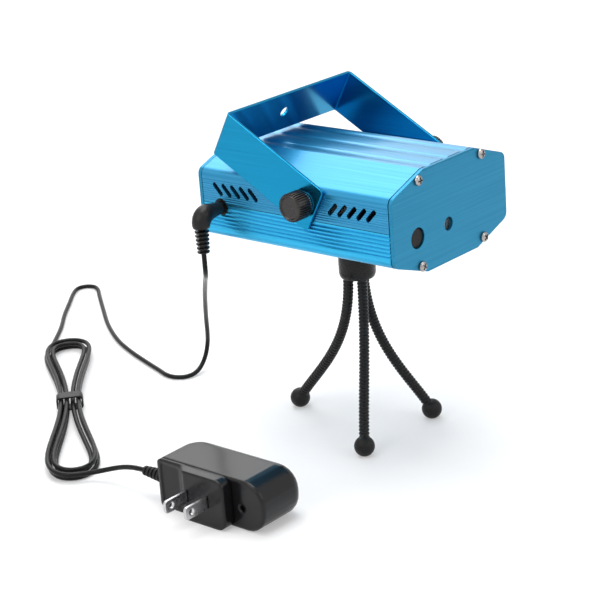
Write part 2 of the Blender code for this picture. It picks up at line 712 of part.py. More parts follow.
# Tripod socket in the case, stud and hub
nut_low = -HALF_H + WALL + GAP
bore = MOUNT_R + 0.4
tripod_nut = tube("tripod_nut", NUT_FLANGE_R, bore, nut_low, nut_low + 1.5, "Z", STEEL)
nut_body = rod("nut_body", 6.2, nut_low + 1, nut_low + 6.5, "Z", None, steps=6)
boolean(tripod_nut, nut_body, "UNION")
boolean(tripod_nut, rod("nut_bore", bore, nut_low - 2, nut_low + 9, "Z", None))
stud_low = HUB_TOP - 9.0
rod("tripod_stud", MOUNT_R, stud_low, nut_low + 5.5, "Z", STEEL, steps=18)
hub_profile = (
    (0, HUB_TOP), (HUB_R - 0.5, HUB_TOP), (HUB_R, HUB_TOP - 0.5), (HUB_R, HUB_LOW + HUB_BEVEL),
    (HUB_R - HUB_BEVEL * 0.35, HUB_LOW), (0, HUB_LOW),
)
hub = turned("tripod_hub", hub_profile, "Z", BLACK_METAL, steps=28, origin=(0, 0, HUB_LOW))
boolean(hub, rod("stud_pocket", MOUNT_R + GAP, stud_low - GAP, HUB_TOP + 2, "Z", None, steps=18))

# Ribbed bendable legs, each in a pocket of the hub, with a ball foot
HIP_Z = HUB_LOW + 2.0
HIP_R = LEG_R + 0.3
POCKET_R = LEG_R + 1.0
for i, (angle, reach) in enumerate(LEG_PLACES, 1):
    out = Vector((math.cos(math.radians(angle)), math.sin(math.radians(angle)), 0.0))
    pocket = math.radians(POCKET_TURN + 120 * (i - 1))
    root = Vector((math.cos(pocket), math.sin(pocket), 0.0)) * LEG_RING
    hip = (root.x, root.y, HIP_Z)
    at = (root.x, root.y)
    socket = [(0, HUB_LOW - 3), (POCKET_R, HUB_LOW - 3), (POCKET_R, HIP_Z)]
    for k in range(5):
        turn = math.radians(18 * k)
        socket.append(((HIP_R + GAP) * math.cos(turn), HIP_Z + (HIP_R + GAP) * math.sin(turn)))
    socket.append((0, HIP_Z + HIP_R + GAP))
    boolean(hub, turned("leg_pocket_%d" % i, socket, "Z", None, at, 16))
    ball_z = FLOOR + FOOT_R - FOOT_FLAT
    drop = HIP_Z - ball_z
    ends = np.array((
        (root.x, root.y, HIP_Z), (root.x, root.y, HIP_Z - 0.5 * drop),
        (0.64 * reach * out.x, 0.64 * reach * out.y, ball_z + 0.28 * drop),
        (reach * out.x, reach * out.y, ball_z),
    ))
    line = []
    for t in np.linspace(0, 1, 240):
        a, b, c, d = (1 - t) ** 3, 3 * t * (1 - t) ** 2, 3 * t * t * (1 - t), t ** 3
        line.append(a * ends[0] + b * ends[1] + c * ends[2] + d * ends[3])
    line = np.array(line)
    ball = line[-1]
    seat = FOOT_R - 2.0
    keep = np.linalg.norm(line - ball, axis=1) >= seat + GAP
    line = line[keep]
    length = np.linalg.norm(np.diff(line, axis=0), axis=1).sum()
    spine = evenly(line, length / (2 * LEG_RIBS))
    swell = [1.0 if k % 2 else LEG_VALLEY / LEG_R for k in range(len(spine))]
    for k in (2, -1, -2):
        swell[k] = LEG_VALLEY / LEG_R
    step = length / (2 * LEG_RIBS)
    for k in (0, 1):
        swell[k] = math.sqrt(HIP_R ** 2 - (step * k) ** 2) / LEG_R
    cap = [math.radians(degrees) for degrees in (68, 45, 22)]
    crown = [(at[0], at[1], HIP_Z + HIP_R * math.sin(turn)) for turn in cap]
    swell = [HIP_R * math.cos(turn) / LEG_R for turn in cap] + swell
    wire("leg_%d" % i, crown + spine.tolist(), LEG_R, BLACK_METAL, 2, swell, hip)
    sole = math.sqrt(FOOT_R ** 2 - (FOOT_R - FOOT_FLAT) ** 2)
    profile = [(0, FLOOR), (sole, FLOOR)]
    first = math.asin((FOOT_R - FOOT_FLAT) / FOOT_R)
    for k in range(1, 9):
        turn = -first + (first + math.pi / 2) * k / 9
        profile.append((FOOT_R * math.cos(turn), ball_z + FOOT_R * math.sin(turn)))
    profile.append((0, ball_z + FOOT_R))
    foot = turned("foot_%d" % i, profile, "Z", BLACK_RUBBER, (ball[0], ball[1]), 16, origin=hip)
    aim = Vector(spine[-3] - spine[-1]).normalized()
    tool = rod("foot_seat_%d" % i, LEG_VALLEY + GAP, seat, FOOT_R + 4, "Z", None, steps=14)
    tool.rotation_mode = "QUATERNION"
    tool.rotation_quaternion = Vector((0, 0, 1)).rotation_difference(aim)
    tool.location = Vector(ball) * MM
    boolean(foot, tool)

# Right-angle power plug: a neck into the jack, an elbow and a ribbed boot pointing down
neck_face = -HALF_W - GAP
elbow = [
    (0, JACK_Z + 5.2), (PLUG_R - 1.4, JACK_Z + 5.2), (PLUG_R, JACK_Z + 3.8), (PLUG_R, JACK_Z - 5.0),
    (PLUG_R - 1.2, JACK_Z - 6.4),
]
ribs = 5
rise = (BOOT_END - 7.4) / ribs
for k in range(ribs):
    z = JACK_Z - 6.8 - rise * k
    wide = 3.8 - 0.2 * k
    elbow += [(2.3, z), (wide, z - rise * 0.1), (wide, z - rise * 0.5), (2.3, z - rise * 0.6)]
elbow += [(2.0, BOOT_LOW), (0, BOOT_LOW)]
plug_at = (PLUG_X, JACK_Y, JACK_Z)
dc_plug = turned("dc_plug", elbow, "Z", BLACK_PLASTIC, (PLUG_X, JACK_Y), 16, origin=plug_at)
boolean(dc_plug, rod("plug_neck", PLUG_R - 0.2, PLUG_X, neck_face, "X", None, jack_at, 16), "UNION")
barrel_end = neck_face + GAP + BARREL_L
tube("plug_barrel", BARREL_R, 1.3, neck_face + GAP, barrel_end, "X", STEEL, jack_at, 18, plug_at)

# Hank: one tube in two layers of long loops, drawn in at the waist
ahead = Vector((0.673, 0.739, 0.0)).normalized()
across = Vector((-ahead.y, ahead.x, 0.0))
middle = Vector((HANK_X, HANK_Y, FLOOR))


def hank_place(t):
    turn = 2 * math.pi * t
    k = min(t, HANK_TURNS - t)
    waist = HANK_WAIST - HANK_STEP * k
    lobe = HANK_LOBE - 3.2 * k
    ease = 0.005 + 0.025 * k
    peak = math.radians(40)
    bulge = (lobe - waist * math.sin(peak)) / (math.sin(peak) + math.sin(3 * peak))
    a = (HANK_HALF - HANK_INSET * k) * ((1 + ease) * math.cos(turn) - ease * math.cos(3 * turn))
    b = (waist + bulge) * math.sin(turn) + bulge * math.sin(3 * turn)
    climb = min(1.0, max(0.0, (t - 1.5) / 0.5))
    climb = climb * climb * (3 - 2 * climb)
    z = CORD_H + HANK_LAYER * climb + HANK_LIFT * math.sin(turn) ** 2
    return middle + ahead * a + across * b + Vector((0, 0, z))


count = int((HANK_TURNS - HANK_START) * 24)
span = HANK_TURNS - HANK_START
loops = [hank_place(HANK_START + span * i / count) for i in range(count + 1)]
square = 2 * CORD_R
entry = (hank_place(HANK_START + 0.002) - loops[0]).normalized()
loops.insert(0, loops[0] - entry * square)
loops.append(loops[-1] - across * square)
wire("cord_hank", [tuple(p) for p in loops], CORD_R, BLACK_RUBBER, 1)

path = np.array([tuple(hank_place(HANK_START + span * i / 1200)) for i in range(1201)])
run = np.concatenate(((0.0,), np.cumsum(np.linalg.norm(np.diff(path, axis=0), axis=1))))
least = 1e9
for i in range(0, len(path), 3):
    apart = np.abs(run - run[i]) > 8 * CORD_R
    least = min(least, np.linalg.norm(path[apart] - path[i], axis=1).min())
print("hank length %.0f mm, least gap between its turns %.2f mm" % (run[-1], least - 2 * CORD_R))

# Tie round the waist
tie_half = HANK_WAIST - HANK_STEP / 2 + CORD_R + 0.45
tie_mid = HANK_STEP / 4
tie_high = CORD_H + HANK_LAYER + HANK_LIFT + CORD_R + 0.4
tie_low = HANK_LIFT + 0.15 - 0.35
outer = rounded(-tie_half - TIE_T, tie_low - TIE_T, tie_half + TIE_T, tie_high + TIE_T, (2.0,) * 4, 3)
inner = rounded(-tie_half, tie_low, tie_half, tie_high, (1.2,) * 4, 3)
bm = bmesh.new()
bands = []
for outline in (outer, inner):
    for end in (-TIE_L / 2, TIE_L / 2):
        band = []
        for u, v in outline:
            place = middle + across * (u + tie_mid) + ahead * end + Vector((0, 0, v))
            band.append(bm.verts.new(place * MM))
        bands.append(band)
count = len(outer)
for first, second in ((0, 1), (1, 3), (3, 2), (2, 0)):
    for i in range(count):
        j = (i + 1) % count
        bm.faces.new((bands[first][i], bands[first][j], bands[second][j], bands[second][i]))
make("hank_tie", bm, (0, 0, 0), BLACK_PLASTIC)

# Free stretch from the plug down to the floor, back and round to the hank
start = (PLUG_X, JACK_Y, BOOT_LOW - GAP - FLOOR)
meet = loops[0] - entry * GAP
soon = meet - entry * 5
early = meet - entry * 14
route = [
    start, (PLUG_X, JACK_Y, start[2] - 3.7), (PLUG_X + 0.4, JACK_Y + 0.4, 96.3),
    (PLUG_X + 2, JACK_Y + 2, 92.8),
    (-54.5, 52, 89.2), (-47, 59.5, 85), (-32, 75, 75.5), (-12, 96, 57), (3.5, 112, 38), (12, 120.5, 23.5),
    (14.8, 124, 16), (14.2, 125.7, 9), (9.8, 125.5, 4), (3.5, 124.8, 1.9), (-2.2, 126.6, CORD_H),
    (-5.6, 131.6, CORD_H), (-5.6, 138, CORD_H), (-2.5, 147, CORD_H), (3, 163, CORD_H), (10.5, 183, CORD_H),
    (20, 203, CORD_H), (35, 226, CORD_H), (54, 250, CORD_H), (69, 268.5, CORD_H), (76.3, 277.3, CORD_H),
    (79.5, 284, CORD_H), (77.2, 289.7, CORD_H), (71.5, 291, CORD_H), (64, 286.8, CORD_H),
    (51, 276.5, CORD_H), (33, 262, CORD_H), (16, 247, CORD_H), (early.x, early.y, CORD_H),
    (soon.x, soon.y, meet.z - FLOOR), (meet.x, meet.y, meet.z - FLOOR),
]
free = sampled([(x, y, h + FLOOR) for x, y, h in route], 6.5)
wire("cord_free", free.tolist(), CORD_R, BLACK_RUBBER, 2)

# Wall adapter: rear case, front cover with a raised boss, two blades, strain relief
relief_z = FLOOR + ADAPTER_H / 2
relief_x = ADAPTER_FACE + COVER_DEPTH + GAP + 4.0
case_front = ADAPTER_FACE + COVER_DEPTH + GAP
case_back = ADAPTER_FACE + ADAPTER_DEPTH
adapter_top = FLOOR + ADAPTER_H


def adapter_ring(inset):
    sharp = (ADAPTER_END_R, ADAPTER_EDGE_R, ADAPTER_EDGE_R, ADAPTER_END_R)
    radii = [max(r - inset, ADAPTER_LIP) for r in sharp]
    return rounded(ADAPTER_Y0 + inset, FLOOR + inset, ADAPTER_Y1 - inset, adapter_top - inset, radii, 6)


rings = [(adapter_ring(ADAPTER_LIP), case_front), (adapter_ring(0.0), case_front + ADAPTER_LIP)]
for k in range(7):
    turn = math.radians(15 * k)
    inset = ADAPTER_ROUND * (1 - math.cos(turn))
    rings.append((adapter_ring(inset), case_back - ADAPTER_ROUND * (1 - math.sin(turn))))
adapter_case = loft("adapter_case", rings, "X", BLACK_PLASTIC)
corner_x = case_back - ADAPTER_CORNER
corner_y = ADAPTER_Y1 - ADAPTER_CORNER
corner = [(case_back + 3, corner_y), (case_back + 3, ADAPTER_Y1 + 3), (corner_x, ADAPTER_Y1 + 3)]
for k in range(11):
    turn = math.radians(90 - 9 * k)
    corner.append((corner_x + ADAPTER_CORNER * math.cos(turn), corner_y + ADAPTER_CORNER * math.sin(turn)))
boolean(adapter_case, prism("adapter_corner", corner, FLOOR - 3, adapter_top + 3, "Z", None))
hole_z = relief_z - ADAPTER_HOLE_DROP
hole_end = case_front + ADAPTER_HOLE_DEEP
hole_spot = (ADAPTER_HOLE_Y, hole_z)
boolean(adapter_case, rod("adapter_hole", ADAPTER_HOLE_R, case_front - 2, hole_end, "X", None, hole_spot, 16))
cover_back = ADAPTER_FACE + COVER_DEPTH
plan = [(ADAPTER_FACE, COVER_Y0), (ADAPTER_FACE, COVER_STEP_Y)]
for k in range(1, 9):
    share = k / 8
    fall = share * share * (3 - 2 * share)
    plan.append((ADAPTER_FACE + COVER_STEP * fall, COVER_STEP_Y + COVER_STEP_RUN * share))
plan += [(ADAPTER_FACE + COVER_STEP, ADAPTER_Y1), (cover_back, ADAPTER_Y1), (cover_back, COVER_Y0)]
cover = prism("adapter_cover", plan, FLOOR, adapter_top, "Z", BLACK_PLASTIC)
panel_y = COVER_STEP_Y + COVER_STEP_RUN + PANEL_FRAME / 2
panel_end = ADAPTER_Y1 - PANEL_FRAME
panel = rounded(panel_y, FLOOR + PANEL_FRAME, panel_end, adapter_top - PANEL_FRAME, (PANEL_R,) * 4)
panel_floor = ADAPTER_FACE + COVER_STEP + PANEL_DEEP
ends = (COVER_END_R, ADAPTER_EDGE_R, ADAPTER_EDGE_R, COVER_END_R)
form = rounded(COVER_Y0, FLOOR, ADAPTER_Y1, adapter_top, ends)
boolean(cover, prism("cover_form", form, ADAPTER_FACE - 3, cover_back + 3, "X", None), "INTERSECT")
boolean(cover, prism("panel_recess", panel, ADAPTER_FACE - 3, panel_floor, "X", None))
round_edges(cover, COVER_EDGE)
for sy, word in ((-1, "near"), (1, "far")):
    mid = BLADE_MID + sy * BLADE_PITCH / 2
    tip = ADAPTER_FACE - GAP - BLADE_L
    low_z = relief_z - BLADE_H / 2
    shape = [
        (ADAPTER_FACE - GAP, low_z), (ADAPTER_FACE - GAP, low_z + BLADE_H), (tip + 1.5, low_z + BLADE_H),
        (tip, low_z + BLADE_H - 1.5), (tip, low_z + 1.5), (tip + 1.5, low_z),
    ]
    blade = prism(word + "_blade", shape, mid - BLADE_T / 2, mid + BLADE_T / 2, "Y", STEEL)
    eye = rod(word + "_eye", 1.5, mid - 3, mid + 3, "Y", None, (tip + 4.0, relief_z), 12)
    boolean(blade, eye)
grip = [(0, ADAPTER_Y1 + GAP), (3.6, ADAPTER_Y1 + GAP), (3.6, ADAPTER_Y1 + 2.2)]
rise = (RELIEF_L - 2.6) / ribs
for k in range(ribs):
    y = ADAPTER_Y1 + 2.6 + rise * k
    wide = 3.1 - 0.2 * k
    grip += [(wide, y), (wide, y + rise * 0.55), (wide - 0.6, y + rise * 0.6), (wide - 0.6, y + rise * 0.95)]
grip += [(2.0, ADAPTER_Y1 + RELIEF_L), (0, ADAPTER_Y1 + RELIEF_L)]
turned("adapter_strain_relief", grip, "Y", BLACK_RUBBER, (relief_x, relief_z), 14)

leave = loops[-1] - across * GAP
relief_y = ADAPTER_Y1 + RELIEF_L + GAP
arrive = Vector((relief_x, relief_y, relief_z))
knots = [leave, leave - across * 16, arrive + Vector((0, 16, 0)), arrive]
tail = []
for t in np.linspace(0, 1, 40):
    a, b, c, d = (1 - t) ** 3, 3 * t * (1 - t) ** 2, 3 * t * t * (1 - t), t ** 3
    tail.append(tuple(knots[0] * a + knots[1] * b + knots[2] * c + knots[3] * d))
wire("cord_tail", evenly(np.array(tail), 5.0).tolist(), CORD_R, BLACK_RUBBER, 2)
total = run[-1] + np.linalg.norm(np.diff(free, axis=0), axis=1).sum()
print("cord in the hank and its free stretch %.0f mm" % total)
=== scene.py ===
# Looks for the mini stage light projector: camera, cord, fine surfaces, materials and light.
import json
import math

import bmesh
import bpy
import numpy as np
from mathutils import Matrix, Vector


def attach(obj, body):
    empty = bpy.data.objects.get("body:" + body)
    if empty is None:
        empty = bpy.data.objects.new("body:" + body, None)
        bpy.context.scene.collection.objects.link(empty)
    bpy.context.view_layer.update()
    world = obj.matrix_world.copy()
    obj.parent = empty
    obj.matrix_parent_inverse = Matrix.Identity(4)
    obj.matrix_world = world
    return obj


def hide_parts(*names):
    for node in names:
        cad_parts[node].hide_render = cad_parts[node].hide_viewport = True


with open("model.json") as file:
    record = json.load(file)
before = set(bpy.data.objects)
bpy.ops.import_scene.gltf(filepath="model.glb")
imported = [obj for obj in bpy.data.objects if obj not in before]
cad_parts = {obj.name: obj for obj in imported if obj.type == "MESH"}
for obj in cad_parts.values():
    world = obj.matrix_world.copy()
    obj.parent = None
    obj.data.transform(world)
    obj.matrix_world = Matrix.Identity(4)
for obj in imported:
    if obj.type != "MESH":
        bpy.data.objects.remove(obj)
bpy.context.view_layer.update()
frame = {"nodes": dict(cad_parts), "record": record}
nodes = frame["nodes"]
scene = bpy.context.scene
MM = 0.001

# The working frame has its centre in the middle of the case, in millimetres
SHIFT = Vector((0.0, -1.65, 124.5))
FLOOR = -124.5
GAP = 0.3

# Camera found from the case's corners in the photograph
CAM_PLACE = Vector((-694.1, -579.6, 269.3))
CAM_AZ = math.radians(-48.26)
CAM_EL = math.radians(19.67)
CAM_ROLL = math.radians(-4.37)
CAM_FOCUS = 1919.0
IMAGE_W = 600
SENSOR_W = 36.0
VIEW_END = 20

# Case, as in the CAD
HALF_W, HALF_L, HALF_H = 45.0, 60.0, 25.0
FLAT = 20.0
SIDE = 16.2
SLOPE = 8.8 / 25.0
WALL = 2.0
SKIN = WALL * math.hypot(1.0, SLOPE)
PLATE_T = 2.0
SHELL_END = HALF_L - PLATE_T - GAP
CORNER_R = 4.0
RIDGE_R = 2.0
SCREW_X, SCREW_Z = 24.8, 20.8
SCREW_BORE = 1.4
PIVOT, PIVOT_BORE = (-9.0, 9.0), 2.7
JACK, JACK_BORE = (46.5, -1.5), 4.3
STUD_BORE = 3.5
MIC, MIC_BORE = (-26.6, -6.6), 5.0
WINDOW, WINDOW_BORE = (-2.5, -6.4), 3.25
DIAL, DIAL_R, DIAL_BORE = (15.0, -6.0), 5.0, 1.8
SWITCH, SWITCH_HALF_W, SWITCH_HALF_H = (-15.0, -6.0), 4.5, 2.0
VENT_COUNT, VENT_FIRST, VENT_PITCH, VENT_Z = 5, 24.9, 5.7, 7.4
VENT_LEAN = math.radians(43)


def make_camera():
    back = Vector((
        math.sin(CAM_AZ) * math.cos(CAM_EL), -math.cos(CAM_AZ) * math.cos(CAM_EL), math.sin(CAM_EL),
    ))
    right = (-back).cross(Vector((0, 0, 1))).normalized()
    up = right.cross(-back)
    right2 = right * math.cos(CAM_ROLL) + up * math.sin(CAM_ROLL)
    up2 = up * math.cos(CAM_ROLL) - right * math.sin(CAM_ROLL)
    data = bpy.data.cameras.new("photo_camera")
    data.sensor_fit = "HORIZONTAL"
    data.sensor_width = SENSOR_W
    data.lens = CAM_FOCUS / IMAGE_W * SENSOR_W
    data.clip_end = VIEW_END
    cam = bpy.data.objects.new("photo_camera", data)
    turn = Matrix((right2, up2, back)).transposed()
    cam.matrix_world = Matrix.Translation((CAM_PLACE + SHIFT) * MM) @ turn.to_4x4()
    scene.collection.objects.link(cam)
    scene.camera = cam


make_camera()


# Materials
RAMP_LOW, RAMP_HIGH = 0.3, 0.7
GRAIN_STRENGTH = 0.3
COAT_ROUGHNESS = 0.16
BRUSHED_SPREAD, MOULDED_SPREAD = 0.04, 0.06


def material(name, colour, roughness, metallic=0.0):
    mat = bpy.data.materials.new(name)
    mat.use_nodes = True
    shader = mat.node_tree.nodes["Principled BSDF"]
    shader.inputs["Base Color"].default_value = (*colour, 1.0)
    shader.inputs["Roughness"].default_value = roughness
    shader.inputs["Metallic"].default_value = metallic
    return mat, mat.node_tree, shader


def streaks(tree, scale, detail=4.0):
    # noise with its own scale, per metre, along each axis
    place = tree.nodes.new("ShaderNodeTexCoord")
    mapping = tree.nodes.new("ShaderNodeMapping")
    mapping.inputs["Scale"].default_value = scale
    noise = tree.nodes.new("ShaderNodeTexNoise")
    noise.inputs["Scale"].default_value = 1.0
    noise.inputs["Detail"].default_value = detail
    tree.links.new(place.outputs["Object"], mapping.inputs["Vector"])
    tree.links.new(mapping.outputs["Vector"], noise.inputs["Vector"])
    return noise


def ramp(tree, source, low, high):
    made = tree.nodes.new("ShaderNodeValToRGB")
    made.color_ramp.elements[0].position = RAMP_LOW
    made.color_ramp.elements[1].position = RAMP_HIGH
    made.color_ramp.elements[0].color = low
    made.color_ramp.elements[1].color = high
    tree.links.new(source, made.inputs["Fac"])
    return made


def bump(tree, shader, source, strength, distance):
    made = tree.nodes.new("ShaderNodeBump")
    made.inputs["Strength"].default_value = strength
    made.inputs["Distance"].default_value = distance
    tree.links.new(source, made.inputs["Height"])
    tree.links.new(made.outputs["Normal"], shader.inputs["Normal"])


def varied(name, dark, light, roughness, spread, scale, metallic, relief, mirror=0.5, coat=0.0):
    mat, tree, shader = material(name, light, roughness, metallic)
    shader.inputs["Specular IOR Level"].default_value = mirror
    shader.inputs["Coat Weight"].default_value = coat
    shader.inputs["Coat Roughness"].default_value = COAT_ROUGHNESS
    noise = streaks(tree, scale)
    tone = ramp(tree, noise.outputs["Fac"], (*dark, 1), (*light, 1))
    tree.links.new(tone.outputs["Color"], shader.inputs["Base Color"])
    low = (roughness - spread,) * 3 + (1,)
    high = (roughness + spread,) * 3 + (1,)
    gloss = ramp(tree, noise.outputs["Fac"], low, high)
    tree.links.new(gloss.outputs["Color"], shader.inputs["Roughness"])
    bump(tree, shader, noise.outputs["Fac"], GRAIN_STRENGTH, relief)
    return mat


def brushed(name, dark, light, roughness, scale, metallic=0.9, relief=0.00003, coat=0.0):
    return varied(name, dark, light, roughness, BRUSHED_SPREAD, scale, metallic, relief, coat=coat)


def soften(mat, radius):
    # shading that runs smoothly over corners and facets, under the surface's own grain
    tree = mat.node_tree
    round_over = tree.nodes.new("ShaderNodeBevel")
    round_over.samples = 12
    round_over.inputs["Radius"].default_value = radius
    grain = next(node for node in tree.nodes if node.bl_idname == "ShaderNodeBump")
    tree.links.new(round_over.outputs["Normal"], grain.inputs["Normal"])


def moulded(name, dark, light, roughness, grain, relief, mirror):
    return varied(name, dark, light, roughness, MOULDED_SPREAD, (grain,) * 3, 0.0, relief, mirror)


BLUE = brushed("blue_brushed", (0.014, 0.235, 0.45), (0.038, 0.31, 0.55), 0.36, (1300, 12, 1300), coat=0.3)
PLATE = brushed("blue_face", (0.018, 0.205, 0.37), (0.030, 0.26, 0.44), 0.42, (14, 1300, 1300))
# the lower shell's blue is the upper shell's anodised blue painted lighter: a painted reflection of the white
# floor on its side walls
LOWER_PAINTED_REFLECTION = brushed("blue_ribbed_painted_reflection", (0.024, 0.37, 0.65), (0.046, 0.465, 0.79), 0.34, (1300, 12, 1300))
YOKE = brushed(
    "blue_strip", (0.005, 0.235, 0.44), (0.009, 0.285, 0.52), 0.2, (2400, 12, 2400),
    metallic=0.92, relief=0.000003,
)
STEEL = brushed("plated_steel", (0.5, 0.5, 0.51), (0.68, 0.68, 0.69), 0.28, (300, 300, 300), 1.0)
SCREW = brushed("screw_steel", (0.30, 0.28, 0.27), (0.46, 0.44, 0.43), 0.24, (300, 300, 300), 1.0)
ALUMINIUM = brushed("machined", (0.5, 0.51, 0.52), (0.66, 0.67, 0.68), 0.38, (400, 30, 400), 1.0)
BRASS = brushed("turned_brass", (0.5, 0.36, 0.13), (0.68, 0.5, 0.22), 0.3, (300, 300, 300), 1.0)
PLASTIC = moulded("black_plastic", (0.007, 0.007, 0.007), (0.013, 0.012, 0.012), 0.36, 900, 0.00003, 0.25)
KNURL = moulded("knob_plastic", (0.010, 0.008, 0.007), (0.017, 0.013, 0.012), 0.3, 900, 0.00002, 0.5)
GLOSSY = moulded("adapter_plastic", (0.005, 0.005, 0.006), (0.008, 0.008, 0.009), 0.2, 2600, 0.000003, 0.3)
RUBBER = moulded("black_rubber", (0.008, 0.008, 0.008), (0.014, 0.013, 0.013), 0.45, 1100, 0.00004, 0.2)
SLEEVE = moulded("black_sleeve", (0.005, 0.005, 0.005), (0.010, 0.010, 0.010), 0.28, 700, 0.00002, 0.22)
CABLE = moulded("cable_jacket", (0.004, 0.004, 0.004), (0.008, 0.008, 0.008), 0.3, 600, 0.00002, 0.16)
BOARD = moulded("board_green", (0.01, 0.12, 0.04), (0.02, 0.18, 0.07), 0.4, 300, 0.00004, 0.5)
DARK = moulded("dark_recess", (0.006, 0.005, 0.005), (0.012, 0.010, 0.010), 0.6, 600, 0.00005, 0.3)
CLEAR, clear_tree, clear_shader = material("clear_glass", (0.86, 0.9, 0.92), 0.04)
clear_shader.inputs["Transmission Weight"].default_value = 0.9
bump(clear_tree, clear_shader, streaks(clear_tree, (200, 200, 200)).outputs["Fac"], 0.04, 0.00002)
soften(GLOSSY, 0.0022)

LOOKS = {
    "blue_anodised": BLUE, "blue_plate": PLATE, "steel": STEEL, "black_plastic": PLASTIC,
    "black_sleeve": SLEEVE, "black_rubber": RUBBER, "bare_aluminium": ALUMINIUM, "brass": BRASS,
    "board": BOARD, "clear": CLEAR,
}
OWN_LOOKS = {"mic_capsule": DARK, "adapter_case": GLOSSY, "adapter_cover": GLOSSY}
SLOTS = {entry["node"]: entry["material_slot"] for entry in frame["record"]["subparts"]}
for name, slot in SLOTS.items():
    mat = OWN_LOOKS.get(name, LOOKS[slot])
    nodes[name].data.materials.clear()
    nodes[name].data.materials.append(mat)


# Shapes: each helper adds to a mesh in the working frame
def spot(axis, u, v, along):
    if axis == "X":
        return Vector((along, u, v))
    if axis == "Y":
        return Vector((u, along, v))
    return Vector((u, v, along))


def rings_to_mesh(bm, rings, capped=True):
    made = [[bm.verts.new(p) for p in ring] for ring in rings]
    count = len(made[0])
    for low, high in zip(made, made[1:]):
        for i in range(count):
            j = (i + 1) % count
            bm.faces.new((low[i], low[j], high[j], high[i]))
    if capped:
        bm.faces.new(made[0])
        bm.faces.new(made[-1])


def prism(outline, low, high, axis="Y"):
    bm = bmesh.new()
    rings_to_mesh(bm, [[spot(axis, u, v, end) for u, v in outline] for end in (low, high)])
    return bm


def turned(profile, axis, centre, steps=48, bm=None):
    # profile is (radius, place along the axis), ends closed by flat caps
    bm = bm or bmesh.new()
    rings = []
    for radius, along in profile:
        ring = []
        for k in range(steps):
            turn = 2 * math.pi * k / steps
            u = centre[0] + radius * math.cos(turn)
            v = centre[1] + radius * math.sin(turn)
            ring.append(spot(axis, u, v, along))
        rings.append(ring)
    rings_to_mesh(bm, rings)
    return bm


def rod(radius, low, high, axis, centre, steps=32):
    return turned(((radius, low), (radius, high)), axis, centre, steps)


def eased(before, corner, after, radius, steps=8):
    # points of an arc that replaces the corner
    c = Vector(corner)
    a = (Vector(before) - c).normalized()
    b = (Vector(after) - c).normalized()
    half = a.angle(b) / 2
    middle = c + (a + b).normalized() * (radius / math.sin(half))
    start = c + a * (radius / math.tan(half)) - middle
    sweep = math.pi - 2 * half
    if a.cross(b) > 0:
        sweep = -sweep
    out = []
    for k in range(steps + 1):
        turn = sweep * k / steps
        x = start.x * math.cos(turn) - start.y * math.sin(turn)
        y = start.x * math.sin(turn) + start.y * math.cos(turn)
        out.append((middle.x + x, middle.y + y))
    return out


def rounded_polygon(corners):
    # corners are (u, v, radius)
    out = []
    count = len(corners)
    for i, (u, v, radius) in enumerate(corners):
        before = corners[i - 1][:2]
        after = corners[(i + 1) % count][:2]
        out += eased(before, (u, v), after, radius) if radius > 0 else [(u, v)]
    return out


def oblong(centre, half_u, half_v):
    signs = ((-1, -1), (1, -1), (1, 1), (-1, 1))
    return [(centre[0] + su * half_u, centre[1] + sv * half_v) for su, sv in signs]


def mirrored(half):
    return list(half) + [(-u, v) for u, v in reversed(half) if abs(u) > 1e-6]


def solid(name, bm, mat=None, move=None):
    bmesh.ops.remove_doubles(bm, verts=bm.verts[:], dist=1e-4)
    bmesh.ops.recalc_face_normals(bm, faces=bm.faces[:])
    for vert in bm.verts:
        place = move @ vert.co if move else vert.co
        vert.co = (place + SHIFT) * MM
    mesh = bpy.data.meshes.new(name)
    bm.to_mesh(mesh)
    bm.free()
    obj = bpy.data.objects.new(name, mesh)
    if mat:
        mesh.materials.append(mat)
    scene.collection.objects.link(obj)
    return obj


def cut(obj, bm, how="DIFFERENCE", move=None):
    tool = solid("tool", bm, None, move)
    mod = obj.modifiers.new("cut", "BOOLEAN")
    mod.operation = how
    mod.solver = "EXACT"
    mod.object = tool
    bpy.context.view_layer.update()
    graph = bpy.context.evaluated_depsgraph_get()
    made = bpy.data.meshes.new_from_object(obj.evaluated_get(graph))
    obj.modifiers.clear()
    old = obj.data
    obj.data = made
    bpy.data.meshes.remove(old)
    spare = tool.data
    bpy.data.objects.remove(tool)
    bpy.data.meshes.remove(spare)


def dress(obj, body, slot, *old, edge=0.0, sharp=32):
    # soft shading with crisp corners, an optional small bevel, then its body and the node it stands for
    obj.data.shade_smooth()
    obj.data.set_sharp_from_angle(angle=math.radians(sharp))
    if edge > 0:
        mod = obj.modifiers.new("edges", "BEVEL")
        mod.width = edge * MM
        mod.segments = 2
        mod.limit_method = "ANGLE"
        mod.angle_limit = math.radians(50)
        mod.harden_normals = True
    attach(obj, body)
    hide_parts(*old)


# Cord: one unbroken line from the plug's boot through the hank to the adapter
CORD_R = 1.25
CORD_H = CORD_R + 0.15
PLUG = Vector((-60.0, 46.5, -1.5))
HANK = Vector((-64.5, 152.0, FLOOR))
AHEAD = Vector((0.673, 0.739, 0.0)).normalized()
ACROSS = Vector((-AHEAD.y, AHEAD.x, 0.0))
TURNS = 3.5
START = 0.08
LOOP_POINTS = 560
WAIST, WAIST_STEP = 6.2, 3.1
LOBE, LOBE_STEP = 13.6, 3.2
REACH, REACH_STEP = 97.0, 6.0
EASE, EASE_STEP = 0.005, 0.025
PEAK = math.radians(40)
LAYER, HUMP = 3.0, 1.4
SPACING = 2.5
RELIEF = Vector((-119.7, 40.8, FLOOR + 12.5))


